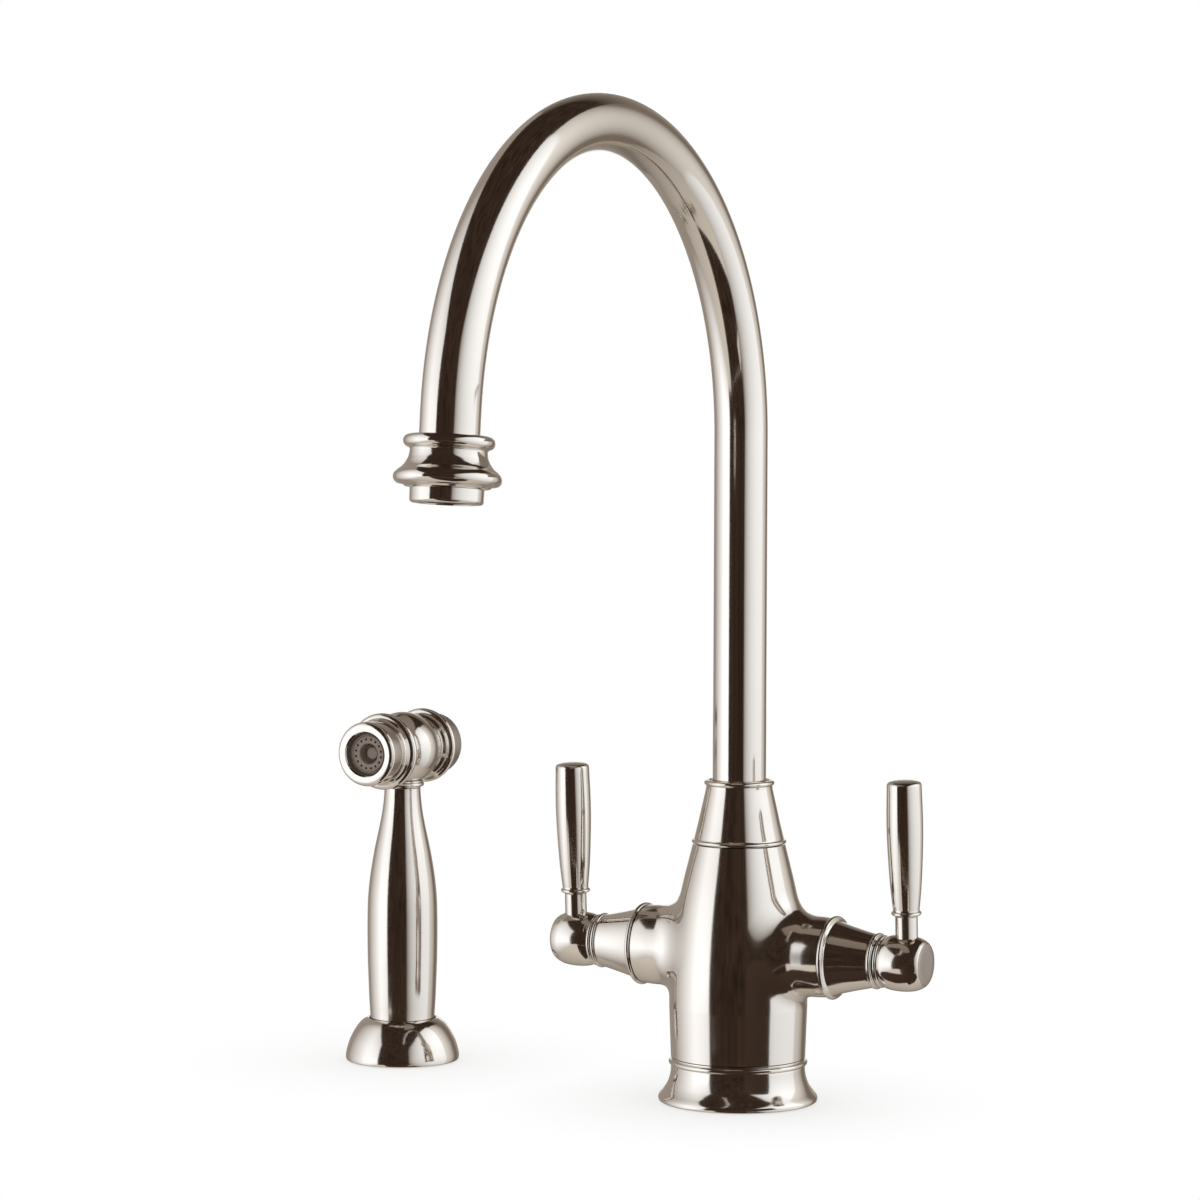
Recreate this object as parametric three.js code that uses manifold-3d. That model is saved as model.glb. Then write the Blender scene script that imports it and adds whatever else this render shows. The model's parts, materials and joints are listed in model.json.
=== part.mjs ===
// A two lever kitchen mixer tap with a tall swan-neck spout and a side spray in its own deck holder.
// Millimetres, +Z up. The origin is on the deck under the middle of the tap's body. The spout reaches
// towards -Y, the levers' axis runs along X, and the side spray stands at -X.
import * as THREE from "three";
import { mergeVertices } from "three/addons/utils/BufferGeometryUtils.js";
import Module from "manifold-3d";

const wasm = await Module();
wasm.setup();

// ---------------------------------------------------------------- driving dimensions

const seat = 0.3; // gap where one piece rests on another
const slack = 0.25; // gap all round a piece that turns or slides in its bore

// facets round a turned piece
const showSides = 16;
const smallSides = 12;
const innerSides = 8;

// base flange and gasket
const flangeRadius = 30.1;
const flangeWaist = 25.25;
const flangeHeight = 16.5;
const flangeBead = 26.1;
const flangeWall = 2.6;
const gasketThickness = 1.8;
const spigotRadius = 20;

// body casting
const bodyTop = 97;
const bodyTopRadius = 17.35;
const coneSlope = 0.25;
const bellyRadius = 26;
const footDraw = 0.7;
const waistHeight = 36;
const shoulderBlend = 6;
const valveHeight = 56.6;
const armRadius = 15.1;
const armEnd = 38.4;
const filletTop = 10;
const filletSide = 7;
const filletUnder = 6;

// water ways in the casting
const inletOffset = 13.6;
const inletThread = 5;
const inletDepth = 13;
const inletBore = 3;
const sprayOutletOffset = 11.5;
const sprayPassageOffset = 7.2;
const sprayPassage = 2;
const studOffset = 12;
const studRadius = 3.3;
const studDepth = 12;
const mixBore = 1.8;
const mixRise = 5.6;

// neck and the spout's bearing in it
const neckTop = 121.2;
const neckBeadRadius = 17.8;
const neckFootRadius = 16.7;
const neckWaistRadius = 14.45;
const neckHeadRadius = 12.4;
const neckLipRadius = 13.2;
const neckThreadRadius = 14.3;
const neckThreadDepth = 7;
const neckWall = 1.5;
const bushLength = 7;
const bushWall = 0.75;
const slipRingThickness = 1.9;
const spigotLandRadius = 12.3;
const spigotLandLength = 13;
const oringSection = 0.95;
const diverterLength = 15;
const diverterRadius = 7.6;
const diverterLift = 2.5;
const diverterStem = 2;

// spout
const tubeRadius = 10;
const tubeWall = 1.2;
const spoutReach = 110.2; // radius of the swan neck's bend
const spoutStraight = 250.2; // height at which the bend starts
const spoutSweep = 174.5; // degrees of bend
const bendSteps = 22;
const tubeSides = 16;
const tubeBoreSides = 8;

// moulded ring and outlet, measured along the outlet from the end of the bend
const collarStart = 7.6;
const collarEnd = 24.7;
const collarUpperBead = 15.05;
const collarLowerBead = 17.8;
const collarNeck = 12.75;
const tubeInCollar = 8;
const outletRadius = 12.2;
const outletEnd = 30;
const outletMouth = 9;
const aeratorCell = 2.5;
const aeratorDepth = 8.5;

// valves, measured along the levers' axis from the middle of the body
const cartridgeRadius = 9.2;
const cartridgeInner = 18; // length of cartridge inside the arm
const discThickness = 2.3;
const discRadius = 7.4;
const portRadius = 1.9;
const spindleRadius = 3.9;
const hexFlats = 20.2;
const hexThickness = 3.2;
const cartridgeNeck = 6.6;
const shroudBead = 15.6;
const shroudBase = 13.7;
const shroudTip = 9.9;
const shroudRing = 10.45;
const shroudLength = 19.6;
const shroudWall = 1.3;
const shroudThread = 5;

// levers
const hubBallRadius = 10.1;
const hubNeck = 8.3;
const hubBead = 9.2;
const hubReach = 68.75; // distance from the middle of the body to the lever
const hubFace = 5.95; // from the lever's line to the flat end of the ball
const capRadius = 7.9;
const capThickness = 1.5;
const leverLean = 3.5; // degrees forward of upright when shut
const stemRadius = 4.15;
const stemTop = 17.7;
const gripTop = 68.5;
const gripBead = 5.56;
const gripFoot = 4.95;
const gripBelly = 6.97;
const gripHead = 6.35;
const gripBore = 2.8;
const screwRadius = 1.8;
const screwHead = 3.5;

// side spray
const sprayX = -156.7;
const sprayY = 18.1;
const holderRadius = 22.6;
const holderTop = 17.5;
const holderMouth = 13.8;
const holderBore = 12;
const holderLedge = 11;
const holderGasket = 1.2;
const holderBushWall = 0.9;
const holderFlange = 1.2;
const handleFoot = 12.6;
const handleBelly = 13.93;
const handleNeck = 7.38;
const handleTop = 106.2;
const handleSpigot = 5.6;
const handleSpigotDepth = 4;
const connectorRadius = 8;
const connectorLength = 15.2;
const connectorBore = 3;
const washerThickness = 1.5;
const handleCollarRadius = 9;
const handleCollarHeight = 3;

// spray head, measured forward along its axis from the handle's line
const headRise = 18; // from the top of the handle to the head's axis
const headBall = 14.6;
const headNeck = 11.2;
const headFront = 12.9;
const headRear = 12.1;
const headBoss = 8.3;
const valveSeatAt = 5;
const valveSeatWall = 2.4;
const valveHole = 3.4;
const plungerRadius = 2;
const plungerHead = 5.2;
const sealThickness = 2;
const headThread = 9.4;
const headThreadDepth = 4.3;
const glandRadius = 4.3;
const glandDepth = 1.8;
const barrelRing = 15.15;
const barrelRadius = 12.6;
const barrelEnd = 29.3;
const barrelLip = 11.3;
const barrelMouth = 8.44;
const plateRadius = 8.2;
const plateThickness = 2.4;
const plateRecess = 2.2;
const plateFace = 6.6;
const plateCentre = 4.25;
const holeCount = 16;
const holeCircle = 5.45;
const holeRadius = 0.42;
const plugRadius = 2.7;
const rearRingRadius = 14.8;
const rearRingEnd = 18;
const buttonRadius = 12.2;
const buttonEnd = 26.8;
const buttonWall = 1.6;
const buttonTravel = 3;
const buttonGrip = 1; // length of button held in its ring at rest
const springRadius = 6.4;
const springWire = 0.55;
const springTurns = 5;

// ---------------------------------------------------------------- finishes

const finish = (color, metalness, roughness) =>
  new THREE.MeshStandardMaterial({ color, metalness, roughness });
const nickel = finish(0xd8cfc6, 1, 0.08);
const satinNickel = finish(0xc4bab0, 1, 0.3);
const brass = finish(0xb8964e, 1, 0.35);
const steel = finish(0xb5b5b3, 1, 0.3);
const rubber = finish(0x1d1d1d, 0, 0.8);
const ceramic = finish(0xe9e6df, 0, 0.35);
const bearingPlastic = finish(0xe8e6e0, 0, 0.5);
const sprayPlastic = finish(0x6f625a, 0, 0.45);

// ---------------------------------------------------------------- making shapes

const radians = THREE.MathUtils.degToRad;
const at = (radius, height) => new THREE.Vector2(radius, height);

// Points on a circle in a profile, from one angle to another in degrees.
function arc(radius, height, size, from, to, steps = 3) {
  return Array.from({ length: steps + 1 }, (_, i) => {
    const angle = radians(from + ((to - from) * i) / steps);
    return at(radius + size * Math.cos(angle), height + size * Math.sin(angle));
  });
}

// A half-round bead that stands out to a radius, centred at a height.
const bead = (radius, height, half, steps = 3) => arc(radius - half, height, half, -90, 90, steps);

// A smooth line through a few points of a profile.
const flowing = (points, steps) => new THREE.SplineCurve(points).getPoints(steps);

// A solid with shared vertices from a closed geometry.
function solidOf(geometry) {
  const bare = geometry.index ? geometry.toNonIndexed() : geometry.clone();
  bare.deleteAttribute("normal");
  bare.deleteAttribute("uv");
  const merged = mergeVertices(bare, 1e-4);
  const corners = merged.index.array;
  const kept = [];
  for (let i = 0; i < corners.length; i += 3) {
    const [a, b, c] = corners.slice(i, i + 3);
    if (a !== b && b !== c && c !== a) kept.push(a, b, c);
  }
  const vertProperties = merged.attributes.position.array;
  return new wasm.Manifold(new wasm.Mesh({ numProp: 3, vertProperties, triVerts: new Uint32Array(kept) }));
}

function geometryOf(solid) {
  const mesh = solid.getMesh();
  const geometry = new THREE.BufferGeometry();
  geometry.setAttribute("position", new THREE.BufferAttribute(mesh.vertProperties, 3));
  geometry.setIndex(new THREE.BufferAttribute(mesh.triVerts, 1));
  return geometry;
}

const cut = (geometry, ...tools) =>
  geometryOf(tools.reduce((solid, tool) => solid.subtract(solidOf(tool)), solidOf(geometry)));
const join = (geometry, ...others) =>
  geometryOf(others.reduce((solid, other) => solid.add(solidOf(other)), solidOf(geometry)));

// Revolves a profile about Z. Its points run up the outside and, for a hollow piece, down the inside.
function revolve(points, sides) {
  const lathe = new THREE.LatheGeometry(points, sides);
  lathe.rotateX(Math.PI / 2);
  return lathe;
}
const turned = (outside, sides = showSides) =>
  revolve([at(0, outside[0].y), ...outside, at(0, outside.at(-1).y)], sides);
// A bore's flats, not its corners, lie at its radius, so that what turns in it always clears.
const bored = (radius, sides) => radius / Math.cos(Math.PI / sides);
function hollow(outside, inside, sides = showSides) {
  const wall = inside.map((p) => at(bored(p.x, sides), p.y)).reverse();
  return revolve([...outside, ...wall, outside[0]], sides);
}
const washer = (outer, inner, low, high, sides = innerSides) =>
  hollow([at(outer, low), at(outer, high)], [at(inner, low), at(inner, high)], sides);
const rod = (radius, low, high, sides = innerSides) => turned([at(radius, low), at(radius, high)], sides);
const drill = (radius, low, high, sides = innerSides) => rod(bored(radius, sides), low, high, sides);

// Turns a shape made about Z to lie along X, pointing to the given side.
const alongX = (geometry, side) => geometry.rotateY((side * Math.PI) / 2);

const root = new THREE.Group();
function add(parent, name, geometry, material) {
  const mesh = new THREE.Mesh(geometry, material);
  mesh.name = name;
  parent.add(mesh);
  return mesh;
}

// ---------------------------------------------------------------- base

const gasketOuter = flangeWaist - 1.2;
const baseFlange = hollow(
  [
    at(flangeRadius - 0.7, 0),
    ...arc(flangeRadius - 0.9, 1.2, 0.9, -60, 60, 3),
    ...flowing([at(flangeRadius - 1.9, 4), at(flangeWaist + 0.9, 8.2), at(flangeWaist, 12.6)], 4),
    ...bead(flangeBead, flangeHeight - 1.7, 1),
    at(flangeWaist, flangeHeight),
  ],
  [
    at(flangeRadius - flangeWall, 0),
    at(flangeRadius - flangeWall - 1.6, gasketThickness + seat),
    at(spigotRadius + seat, gasketThickness + seat + 4),
    at(spigotRadius + seat, flangeHeight),
  ],
);
add(root, "base_flange", baseFlange, nickel);
add(root, "base_gasket", washer(gasketOuter, spigotRadius + seat, 0, gasketThickness, smallSides), rubber);

// ---------------------------------------------------------------- body casting

// The lesser of two distances, rounded over where they are within a blend of each other.
function smoothMin(a, b, blend) {
  const near = Math.max(blend - Math.abs(a - b), 0) / blend;
  return Math.min(a, b) - (near * near * blend) / 4;
}

const bodyFoot = flangeHeight + seat;
function bodyRadiusAt(z) {
  const cone = bodyTopRadius + coneSlope * (bodyTop - z);
  const draw = Math.max(0, (waistHeight - z) / (waistHeight - flangeHeight));
  return smoothMin(cone, bellyRadius - footDraw * draw, shoulderBlend);
}

// Less than nothing inside the casting and more outside it: the upright body and the two arms, with
// the fillet between them wider above the arms than beside and under them.
function castingField(p) {
  const rise = p.z - valveHeight;
  const reach = Math.hypot(p.y, rise);
  const up = rise / Math.max(reach, 1e-6);
  const above = (filletTop - filletSide) * Math.max(up, 0) ** 2;
  const under = (filletUnder - filletSide) * Math.max(-up, 0) ** 2;
  return smoothMin(Math.hypot(p.x, p.y) - bodyRadiusAt(p.z), reach - armRadius, filletSide + above + under);
}

// Moves a point on to the casting's surface.
function settle(p) {
  const step = 0.01;
  for (let round = 0; round < 8; round++) {
    const slope = new THREE.Vector3(
      ...["x", "y", "z"].map((axis) => {
        const ahead = p.clone();
        const behind = p.clone();
        ahead[axis] += step;
        behind[axis] -= step;
        return (castingField(ahead) - castingField(behind)) / (2 * step);
      }),
    );
    p.addScaledVector(slope, -castingField(p) / slope.lengthSq());
  }
  return p;
}

// Facets of the casting: round half the body, and up its side beside an arm.
const across = 10;
const beside = 4;
const armRows = [0, 0.4, 0.7, 0.9];
const bodyRows = [0, 0.08, 0.2, 0.4, 1];

function bodyCasting() {
  const low = valveHeight - armRadius - filletUnder - seat;
  const high = valveHeight + armRadius + filletTop + seat;
  const around = 2 * (across + beside);
  const onBody = (theta, z, radius = bodyRadiusAt(z)) =>
    new THREE.Vector3(radius * Math.cos(theta), radius * Math.sin(theta), z);
  const corners = [];
  const quad = (a, b, c, d) => corners.push(a, b, c, a, c, d);

  // The border of one half of the body's middle, walked once round the arm from above its back.
  function border(j) {
    const k = j % around;
    const quarter = Math.PI / 2;
    if (k <= across) return [-quarter + (Math.PI * k) / across, high];
    if (k <= across + beside) return [quarter, high + ((low - high) * (k - across)) / beside];
    if (k <= 2 * across + beside) return [quarter - (Math.PI * (k - across - beside)) / across, low];
    return [-quarter, low + ((high - low) * (k - 2 * across - beside)) / beside];
  }

  // One line of the casting's surface, from the end of the arm over the fillet and out to the border.
  function line(j, side) {
    const phi = (2 * Math.PI * (j - across / 2)) / around;
    const y = armRadius * Math.sin(phi);
    const z = valveHeight + armRadius * Math.cos(phi);
    const meets = Math.sqrt(bodyRadiusAt(z) ** 2 - y ** 2);
    const [theta, height] = border(j);
    const from = Math.atan2(y, meets);
    const points = armRows.map((share) => new THREE.Vector3(armEnd + (meets - armEnd) * share, y, z));
    for (const share of bodyRows)
      points.push(onBody(from + (theta - from) * share, z + (height - z) * share));
    points.slice(1, -1).forEach(settle);
    return points.map((p) => new THREE.Vector3(side * p.x, p.y, p.z));
  }

  for (const side of [1, -1]) {
    const lines = Array.from({ length: around + 1 }, (_, j) => line(j, side));
    const tip = new THREE.Vector3(side * armEnd, 0, valveHeight);
    for (let j = 0; j < around; j++) {
      const [one, two] = side > 0 ? [lines[j], lines[j + 1]] : [lines[j + 1], lines[j]];
      corners.push(tip, two[0], one[0]);
      for (let k = 1; k < one.length; k++) quad(one[k - 1], two[k - 1], two[k], one[k]);
    }
  }

  // The turned stretches below and above the arms, with the foot that stands in the flange.
  const stretch = (from, to, rows) =>
    Array.from({ length: rows + 1 }, (_, i) => from + ((to - from) * i) / rows);
  const foot = [
    [0, 0],
    [0, spigotRadius],
    [bodyFoot, spigotRadius],
    ...stretch(bodyFoot, low, 3).map((z) => [z, bodyRadiusAt(z)]),
  ];
  const head = [...stretch(high, bodyTop, 3).map((z) => [z, bodyRadiusAt(z)]), [bodyTop, 0]];
  for (const rings of [foot, head])
    for (let i = 0; i < 2 * across; i++) {
      const [t, u] = [-Math.PI / 2 + (Math.PI * i) / across, -Math.PI / 2 + (Math.PI * (i + 1)) / across];
      for (let k = 1; k < rings.length; k++) {
        const [[z, r], [y, s]] = [rings[k - 1], rings[k]];
        quad(onBody(t, z, r), onBody(u, z, r), onBody(u, y, s), onBody(t, y, s));
      }
    }
  return new THREE.BufferGeometry().setFromPoints(corners);
}

const armBore = cartridgeRadius + slack;
const armBoreEnd = armEnd - cartridgeInner - seat;
const neckSkirt = bodyTop - neckThreadDepth;
const landTop = neckSkirt - seat;
const landFoot = landTop - spigotLandLength;
const spoutBore = spigotLandRadius + slack;
const chamberFoot = landFoot - seat - diverterLength - 2 * seat;
const chamberRadius = diverterRadius + slack;

const upright = (geometry, x, y) => geometry.translate(x, y, 0);
const bodyCuts = [
  drill(neckThreadRadius + seat, neckSkirt - seat, bodyTop + 1, smallSides),
  drill(spoutBore, landFoot - seat, neckSkirt, smallSides),
  drill(chamberRadius, chamberFoot, landFoot, innerSides),
  upright(drill(studRadius, -1, studDepth), 0, -studOffset),
  upright(drill(inletThread, -1, inletDepth), 0, sprayOutletOffset),
  upright(drill(sprayPassage, inletDepth - 1, chamberFoot + 1, innerSides), 0, sprayPassageOffset),
];
for (const side of [1, -1]) {
  const level = [
    drill(armBore, armBoreEnd, armEnd + 1, smallSides),
    drill(inletBore, inletOffset, armBoreEnd + 1, innerSides),
    drill(mixBore, 0, armBoreEnd + 1, innerSides).translate(side * -mixRise, 0, 0),
  ];
  for (const tool of level) bodyCuts.push(alongX(tool, side).translate(0, 0, valveHeight));
  bodyCuts.push(upright(drill(inletThread, -1, inletDepth), side * inletOffset, 0));
  bodyCuts.push(upright(drill(inletBore, inletDepth - 1, valveHeight, innerSides), side * inletOffset, 0));
}
add(root, "body_casting", cut(bodyCasting(), ...bodyCuts), nickel);

const diverterTop = landFoot - 2 * seat;
const diverterFoot = diverterTop - diverterLength + seat;
const diverterHole = diverterStem + slack;
const diverterShelf = diverterFoot + diverterLength / 2;
add(
  root,
  "diverter_body",
  hollow(
    [at(diverterRadius, diverterFoot), at(diverterRadius, diverterTop)],
    [
      at(diverterRadius - 1.6, diverterFoot),
      at(diverterRadius - 1.6, diverterShelf - 1.5),
      at(diverterHole, diverterShelf - 1.5),
      at(diverterHole, diverterShelf),
      at(diverterRadius - 1.6, diverterShelf),
      at(diverterRadius - 1.6, diverterTop),
    ],
    innerSides,
  ),
  bearingPlastic,
);
add(
  root,
  "diverter_piston",
  turned(
    [
      at(diverterStem, diverterFoot + 0.6),
      at(diverterStem, diverterShelf + seat),
      at(diverterRadius - 2.2, diverterShelf + seat),
      at(diverterRadius - 2.2, diverterShelf + 2.2),
      at(diverterStem, diverterTop - diverterLift - seat),
    ],
    innerSides,
  ),
  brass,
);

// ---------------------------------------------------------------- neck and spout bearing

const neckFoot = bodyTop + seat;
const runRadius = tubeRadius + slack;
const bushTop = neckTop - 1.2;
const bushOuter = runRadius + bushWall;
const slipTop = landTop + seat + slipRingThickness;
add(
  root,
  "neck_cone",
  hollow(
    [
      at(neckThreadRadius, neckSkirt),
      at(neckThreadRadius, neckFoot),
      ...bead(neckBeadRadius, neckFoot + 0.9, 0.8),
      ...flowing(
        [
          at(neckFootRadius, neckFoot + 2.2),
          at(neckWaistRadius, (neckFoot + neckTop) / 2),
          at(neckHeadRadius, neckTop - 2.6),
        ],
        2,
      ),
      ...bead(neckLipRadius, neckTop - 1, 0.9),
    ],
    [
      at(neckThreadRadius - neckWall, neckSkirt),
      at(neckThreadRadius - neckWall, slipTop + seat),
      at(runRadius + slack, slipTop + seat),
      at(runRadius + slack, bushTop - bushLength - seat),
      at(bushOuter + slack, bushTop - bushLength - seat),
      at(bushOuter + slack, neckTop - 0.1),
    ],
  ),
  nickel,
);
const neckBush = washer(bushOuter, runRadius, bushTop - bushLength, bushTop, smallSides);
add(root, "neck_bush", neckBush, bearingPlastic);
add(
  root,
  "slip_ring",
  washer(neckThreadRadius - neckWall - seat, runRadius, landTop + seat, slipTop, smallSides),
  bearingPlastic,
);

// ---------------------------------------------------------------- spout

const tubeBore = tubeRadius - tubeWall;
const grooveDepth = 2 * oringSection;
const grooveHalf = oringSection + 0.15;
const oringHeights = [landFoot + spigotLandLength * 0.3, landFoot + spigotLandLength * 0.72];
const groove = (z) => [
  at(spigotLandRadius, z - grooveHalf),
  at(spigotLandRadius - grooveDepth, z - grooveHalf),
  at(spigotLandRadius - grooveDepth, z + grooveHalf),
  at(spigotLandRadius, z + grooveHalf),
];
add(
  root,
  "spout_spigot",
  hollow(
    [
      at(spigotLandRadius, landFoot),
      ...oringHeights.flatMap(groove),
      at(spigotLandRadius, landTop),
      at(tubeBore - slack, landTop),
      at(tubeBore - slack, landTop + spigotLandLength),
    ],
    [at(tubeBore - 2.4, landFoot), at(tubeBore - 2.4, landTop + spigotLandLength)],
    smallSides,
  ),
  brass,
);
oringHeights.forEach((z, i) => {
  const centre = spigotLandRadius - oringSection + 0.1;
  const inside = [at(centre - oringSection, z - 0.4), at(centre - oringSection, z + 0.4)];
  const ring = hollow(bead(centre + oringSection, z, oringSection), inside, smallSides);
  add(root, ["spigot_oring_lower", "spigot_oring_upper"][i], ring, rubber);
});

// The middle line of the tube: upright, round the bend, and on into the moulded ring.
class SpoutLine extends THREE.Curve {
  getPointAt(share) {
    const step = share * (bendSteps + 2);
    const turn = radians(spoutSweep) * THREE.MathUtils.clamp((step - 1) / bendSteps, 0, 1);
    const past = Math.max(step - bendSteps - 1, 0) * (collarStart + tubeInCollar);
    const base = landTop + seat;
    const height = step < 1 ? base + (spoutStraight - base) * step : spoutStraight;
    return new THREE.Vector3(
      0,
      -spoutReach * (1 - Math.cos(turn)) - past * Math.sin(turn),
      height + spoutReach * Math.sin(turn) + past * Math.cos(turn),
    );
  }
  getTangentAt(share) {
    const step = share * (bendSteps + 2);
    const turn = radians(spoutSweep) * THREE.MathUtils.clamp((step - 1) / bendSteps, 0, 1);
    return new THREE.Vector3(0, -Math.sin(turn), Math.cos(turn));
  }
}
const circle = (radius, sides) =>
  Array.from({ length: sides }, (_, i) =>
    at(radius * Math.cos((2 * Math.PI * i) / sides), radius * Math.sin((2 * Math.PI * i) / sides)),
  );
const tubeSection = new THREE.Shape(circle(tubeRadius, tubeSides));
tubeSection.holes.push(new THREE.Path(circle(bored(tubeBore, tubeBoreSides), tubeBoreSides)));
add(
  root,
  "spout_tube",
  new THREE.ExtrudeGeometry(tubeSection, { steps: bendSteps + 2, extrudePath: new SpoutLine() }),
  nickel,
);

// ---------------------------------------------------------------- moulded ring and outlet

const bendEnd = new SpoutLine().getPointAt((bendSteps + 1) / (bendSteps + 2));
const outlet = new THREE.Group();
outlet.position.copy(bendEnd);
outlet.rotation.x = radians(spoutSweep);
root.add(outlet);

const tubeEnd = collarStart + tubeInCollar;
const housingThread = 11;
add(
  outlet,
  "nozzle_collar",
  hollow(
    [
      ...bead(collarUpperBead, collarStart + 2.2, 2, 4),
      ...flowing(
        [
          at(collarNeck, collarStart + 5),
          at(collarNeck + 0.7, collarStart + 8.2),
          at(collarLowerBead - 2.9, collarEnd - 6.5),
          at(collarLowerBead - 1.9, collarEnd - 5.7),
        ],
        4,
      ),
      ...arc(collarLowerBead - 2.3, collarEnd - 3, 2.3, -40, 75, 4),
      at(collarLowerBead - 3.6, collarEnd),
    ],
    [
      at(tubeRadius + seat, collarStart + 0.3),
      at(tubeRadius + seat, tubeEnd),
      at(housingThread + seat, tubeEnd + seat),
      at(housingThread + seat, collarEnd),
    ],
  ),
  nickel,
);
const insertTop = tubeEnd + 3 * seat + washerThickness;
const insertEnd = outletEnd - 1.8;
const housingBore = housingThread - 1.4;
add(
  outlet,
  "aerator_washer",
  washer(housingBore - seat, tubeBore - 1.6, tubeEnd + seat + seat, insertTop - seat, smallSides),
  rubber,
);
add(
  outlet,
  "aerator_housing",
  hollow(
    [
      at(housingThread, tubeEnd + 2 * seat),
      at(housingThread, collarEnd + seat),
      at(outletRadius, collarEnd + seat),
      at(outletRadius, outletEnd - 1.6),
      ...arc(outletRadius - 1.2, outletEnd - 1.2, 1.2, 0, 75, 3),
      at(outletRadius - 1.8, outletEnd),
    ],
    [
      at(housingBore, tubeEnd + 2 * seat),
      at(housingBore, insertEnd + seat),
      at(outletMouth, insertEnd + seat),
      at(outletMouth, outletEnd),
    ],
  ),
  nickel,
);
function honeycomb(radius, cell, depth) {
  const disc = new THREE.Shape(circle(radius, smallSides));
  const pitch = cell * Math.sqrt(3) + 0.45;
  for (let row = -2; row <= 2; row++)
    for (let column = -2; column <= 2; column++) {
      const x = (column + row / 2) * pitch;
      const y = (row * pitch * Math.sqrt(3)) / 2;
      if (Math.hypot(x, y) + cell > radius - 0.5) continue;
      const corners = circle(cell, 6).map((p) => at(x + p.y, y + p.x));
      disc.holes.push(new THREE.Path(corners));
    }
  return new THREE.ExtrudeGeometry(disc, { depth, bevelEnabled: false });
}
add(
  outlet,
  "aerator_insert",
  honeycomb(housingBore - seat, aeratorCell, aeratorDepth).translate(0, 0, insertEnd - aeratorDepth),
  sprayPlastic,
);

// ---------------------------------------------------------------- valves and levers

const discGap = seat;
const sealFoot = armBoreEnd + seat;
const fixedFoot = sealFoot + washerThickness + seat;
const turningFoot = fixedFoot + discThickness + discGap;
const carrierFoot = turningFoot + discThickness + discGap;
const hexFoot = armEnd + seat;
const hexTop = hexFoot + hexThickness;
const shroudFoot = armEnd + seat;
const shroudEnd = shroudFoot + shroudLength;
const neckEnd = shroudEnd - 3.3;
const hubFoot = shroudEnd + seat;
const hubFlat = hubReach + hubFace;
const spindleEnd = hubReach - 2.4;
const webEnd = hubReach + 1.3;
const spindleBore = spindleRadius + slack;
const pocketRadius = screwHead + 0.8;
const stemFoot = pocketRadius + 0.9;
const stemSpigot = 2.8;
const spotFace = hubBallRadius - 1.1;

// A ceramic disc with two water ports.
function ceramicDisc(radius) {
  const disc = new THREE.Shape(circle(radius, innerSides));
  for (const side of [1, -1]) {
    const port = circle(portRadius, 8).map((p) => at(p.x + side * radius * 0.5, p.y));
    disc.holes.push(new THREE.Path(port));
  }
  return new THREE.ExtrudeGeometry(disc, { depth: discThickness, bevelEnabled: false });
}

function cartridge() {
  const hex = turned([at(hexFlats / Math.sqrt(3), hexFoot), at(hexFlats / Math.sqrt(3), hexTop)], 6);
  const chamberEnd = carrierFoot + 2.2 + seat;
  const body = turned(
    [
      at(cartridgeRadius, fixedFoot),
      at(cartridgeRadius, hexFoot + 0.5),
      at(cartridgeNeck, hexFoot + 0.5),
      at(cartridgeNeck, neckEnd - seat),
    ],
    smallSides,
  );
  const chamber = drill(discRadius + slack, fixedFoot - 1, chamberEnd, innerSides);
  const window = new THREE.BoxGeometry(2 * cartridgeRadius + 2, 4.4, discThickness + 1);
  window.translate(0, 0, turningFoot + discThickness / 2);
  return cut(join(body, hex), chamber, drill(spindleBore, chamberEnd - 1, neckEnd + 1, smallSides), window);
}

function spindle() {
  const outside = [
    at(discRadius - 0.3, carrierFoot),
    at(discRadius - 0.3, carrierFoot + 2.2),
    at(spindleRadius, carrierFoot + 2.2),
    at(spindleRadius, spindleEnd),
  ];
  return cut(turned(outside, smallSides), drill(screwRadius + slack, spindleEnd - 9, spindleEnd + 1, 12));
}

const shroudLine = [
  at(shroudBase, shroudFoot + 2),
  at((shroudBase + shroudTip) / 2 - 0.6, (shroudFoot + shroudEnd) / 2 + 1.2),
  at(shroudTip, shroudEnd - 2.3),
];
function shroud() {
  const inner = shroudLine.map((p) => at(p.x - shroudWall, p.y));
  return hollow(
    [
      at(shroudBead - 0.8, shroudFoot),
      ...arc(shroudBead - 0.9, shroudFoot + 0.9, 0.9, -60, 90),
      ...flowing(shroudLine, 3),
      ...bead(shroudRing, shroudEnd - 1.1, 0.8, 3),
    ],
    [
      at(inner[0].x + 0.4, shroudFoot),
      inner[1],
      at(cartridgeNeck + slack, neckEnd - shroudThread),
      at(cartridgeNeck + slack, neckEnd),
      at(spindleBore + slack, neckEnd),
      at(spindleBore + slack, shroudEnd - 0.3),
    ],
  );
}

// The ball that the lever stands in, turned about the levers' axis and bored up its side for the stem.
function leverHub(side) {
  const tilt = THREE.MathUtils.radToDeg(Math.asin(hubFace / hubBallRadius));
  const ball = turned([
    at(hubNeck, hubFoot),
    at(hubNeck, hubFoot + 1.9),
    ...bead(hubBead, hubFoot + 3.2, 1.1),
    ...arc(0, hubReach, hubBallRadius, -29, tilt, 5),
  ]);
  const hub = cut(
    ball,
    drill(spindleBore, hubFoot - 1, spindleEnd + seat, smallSides),
    drill(screwRadius + slack, spindleEnd - 1, webEnd + 1, 12),
    drill(pocketRadius, webEnd, hubFlat + 1, innerSides),
  );
  const stemBore = drill(stemSpigot + slack, stemFoot, hubBallRadius + 1, innerSides);
  const spot = drill(stemRadius + seat, spotFace, hubBallRadius + 3, smallSides);
  const socket = [stemBore, spot].map((tool) => tool.translate(side * hubReach, 0, 0));
  return cut(alongX(hub, side), ...socket);
}

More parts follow.
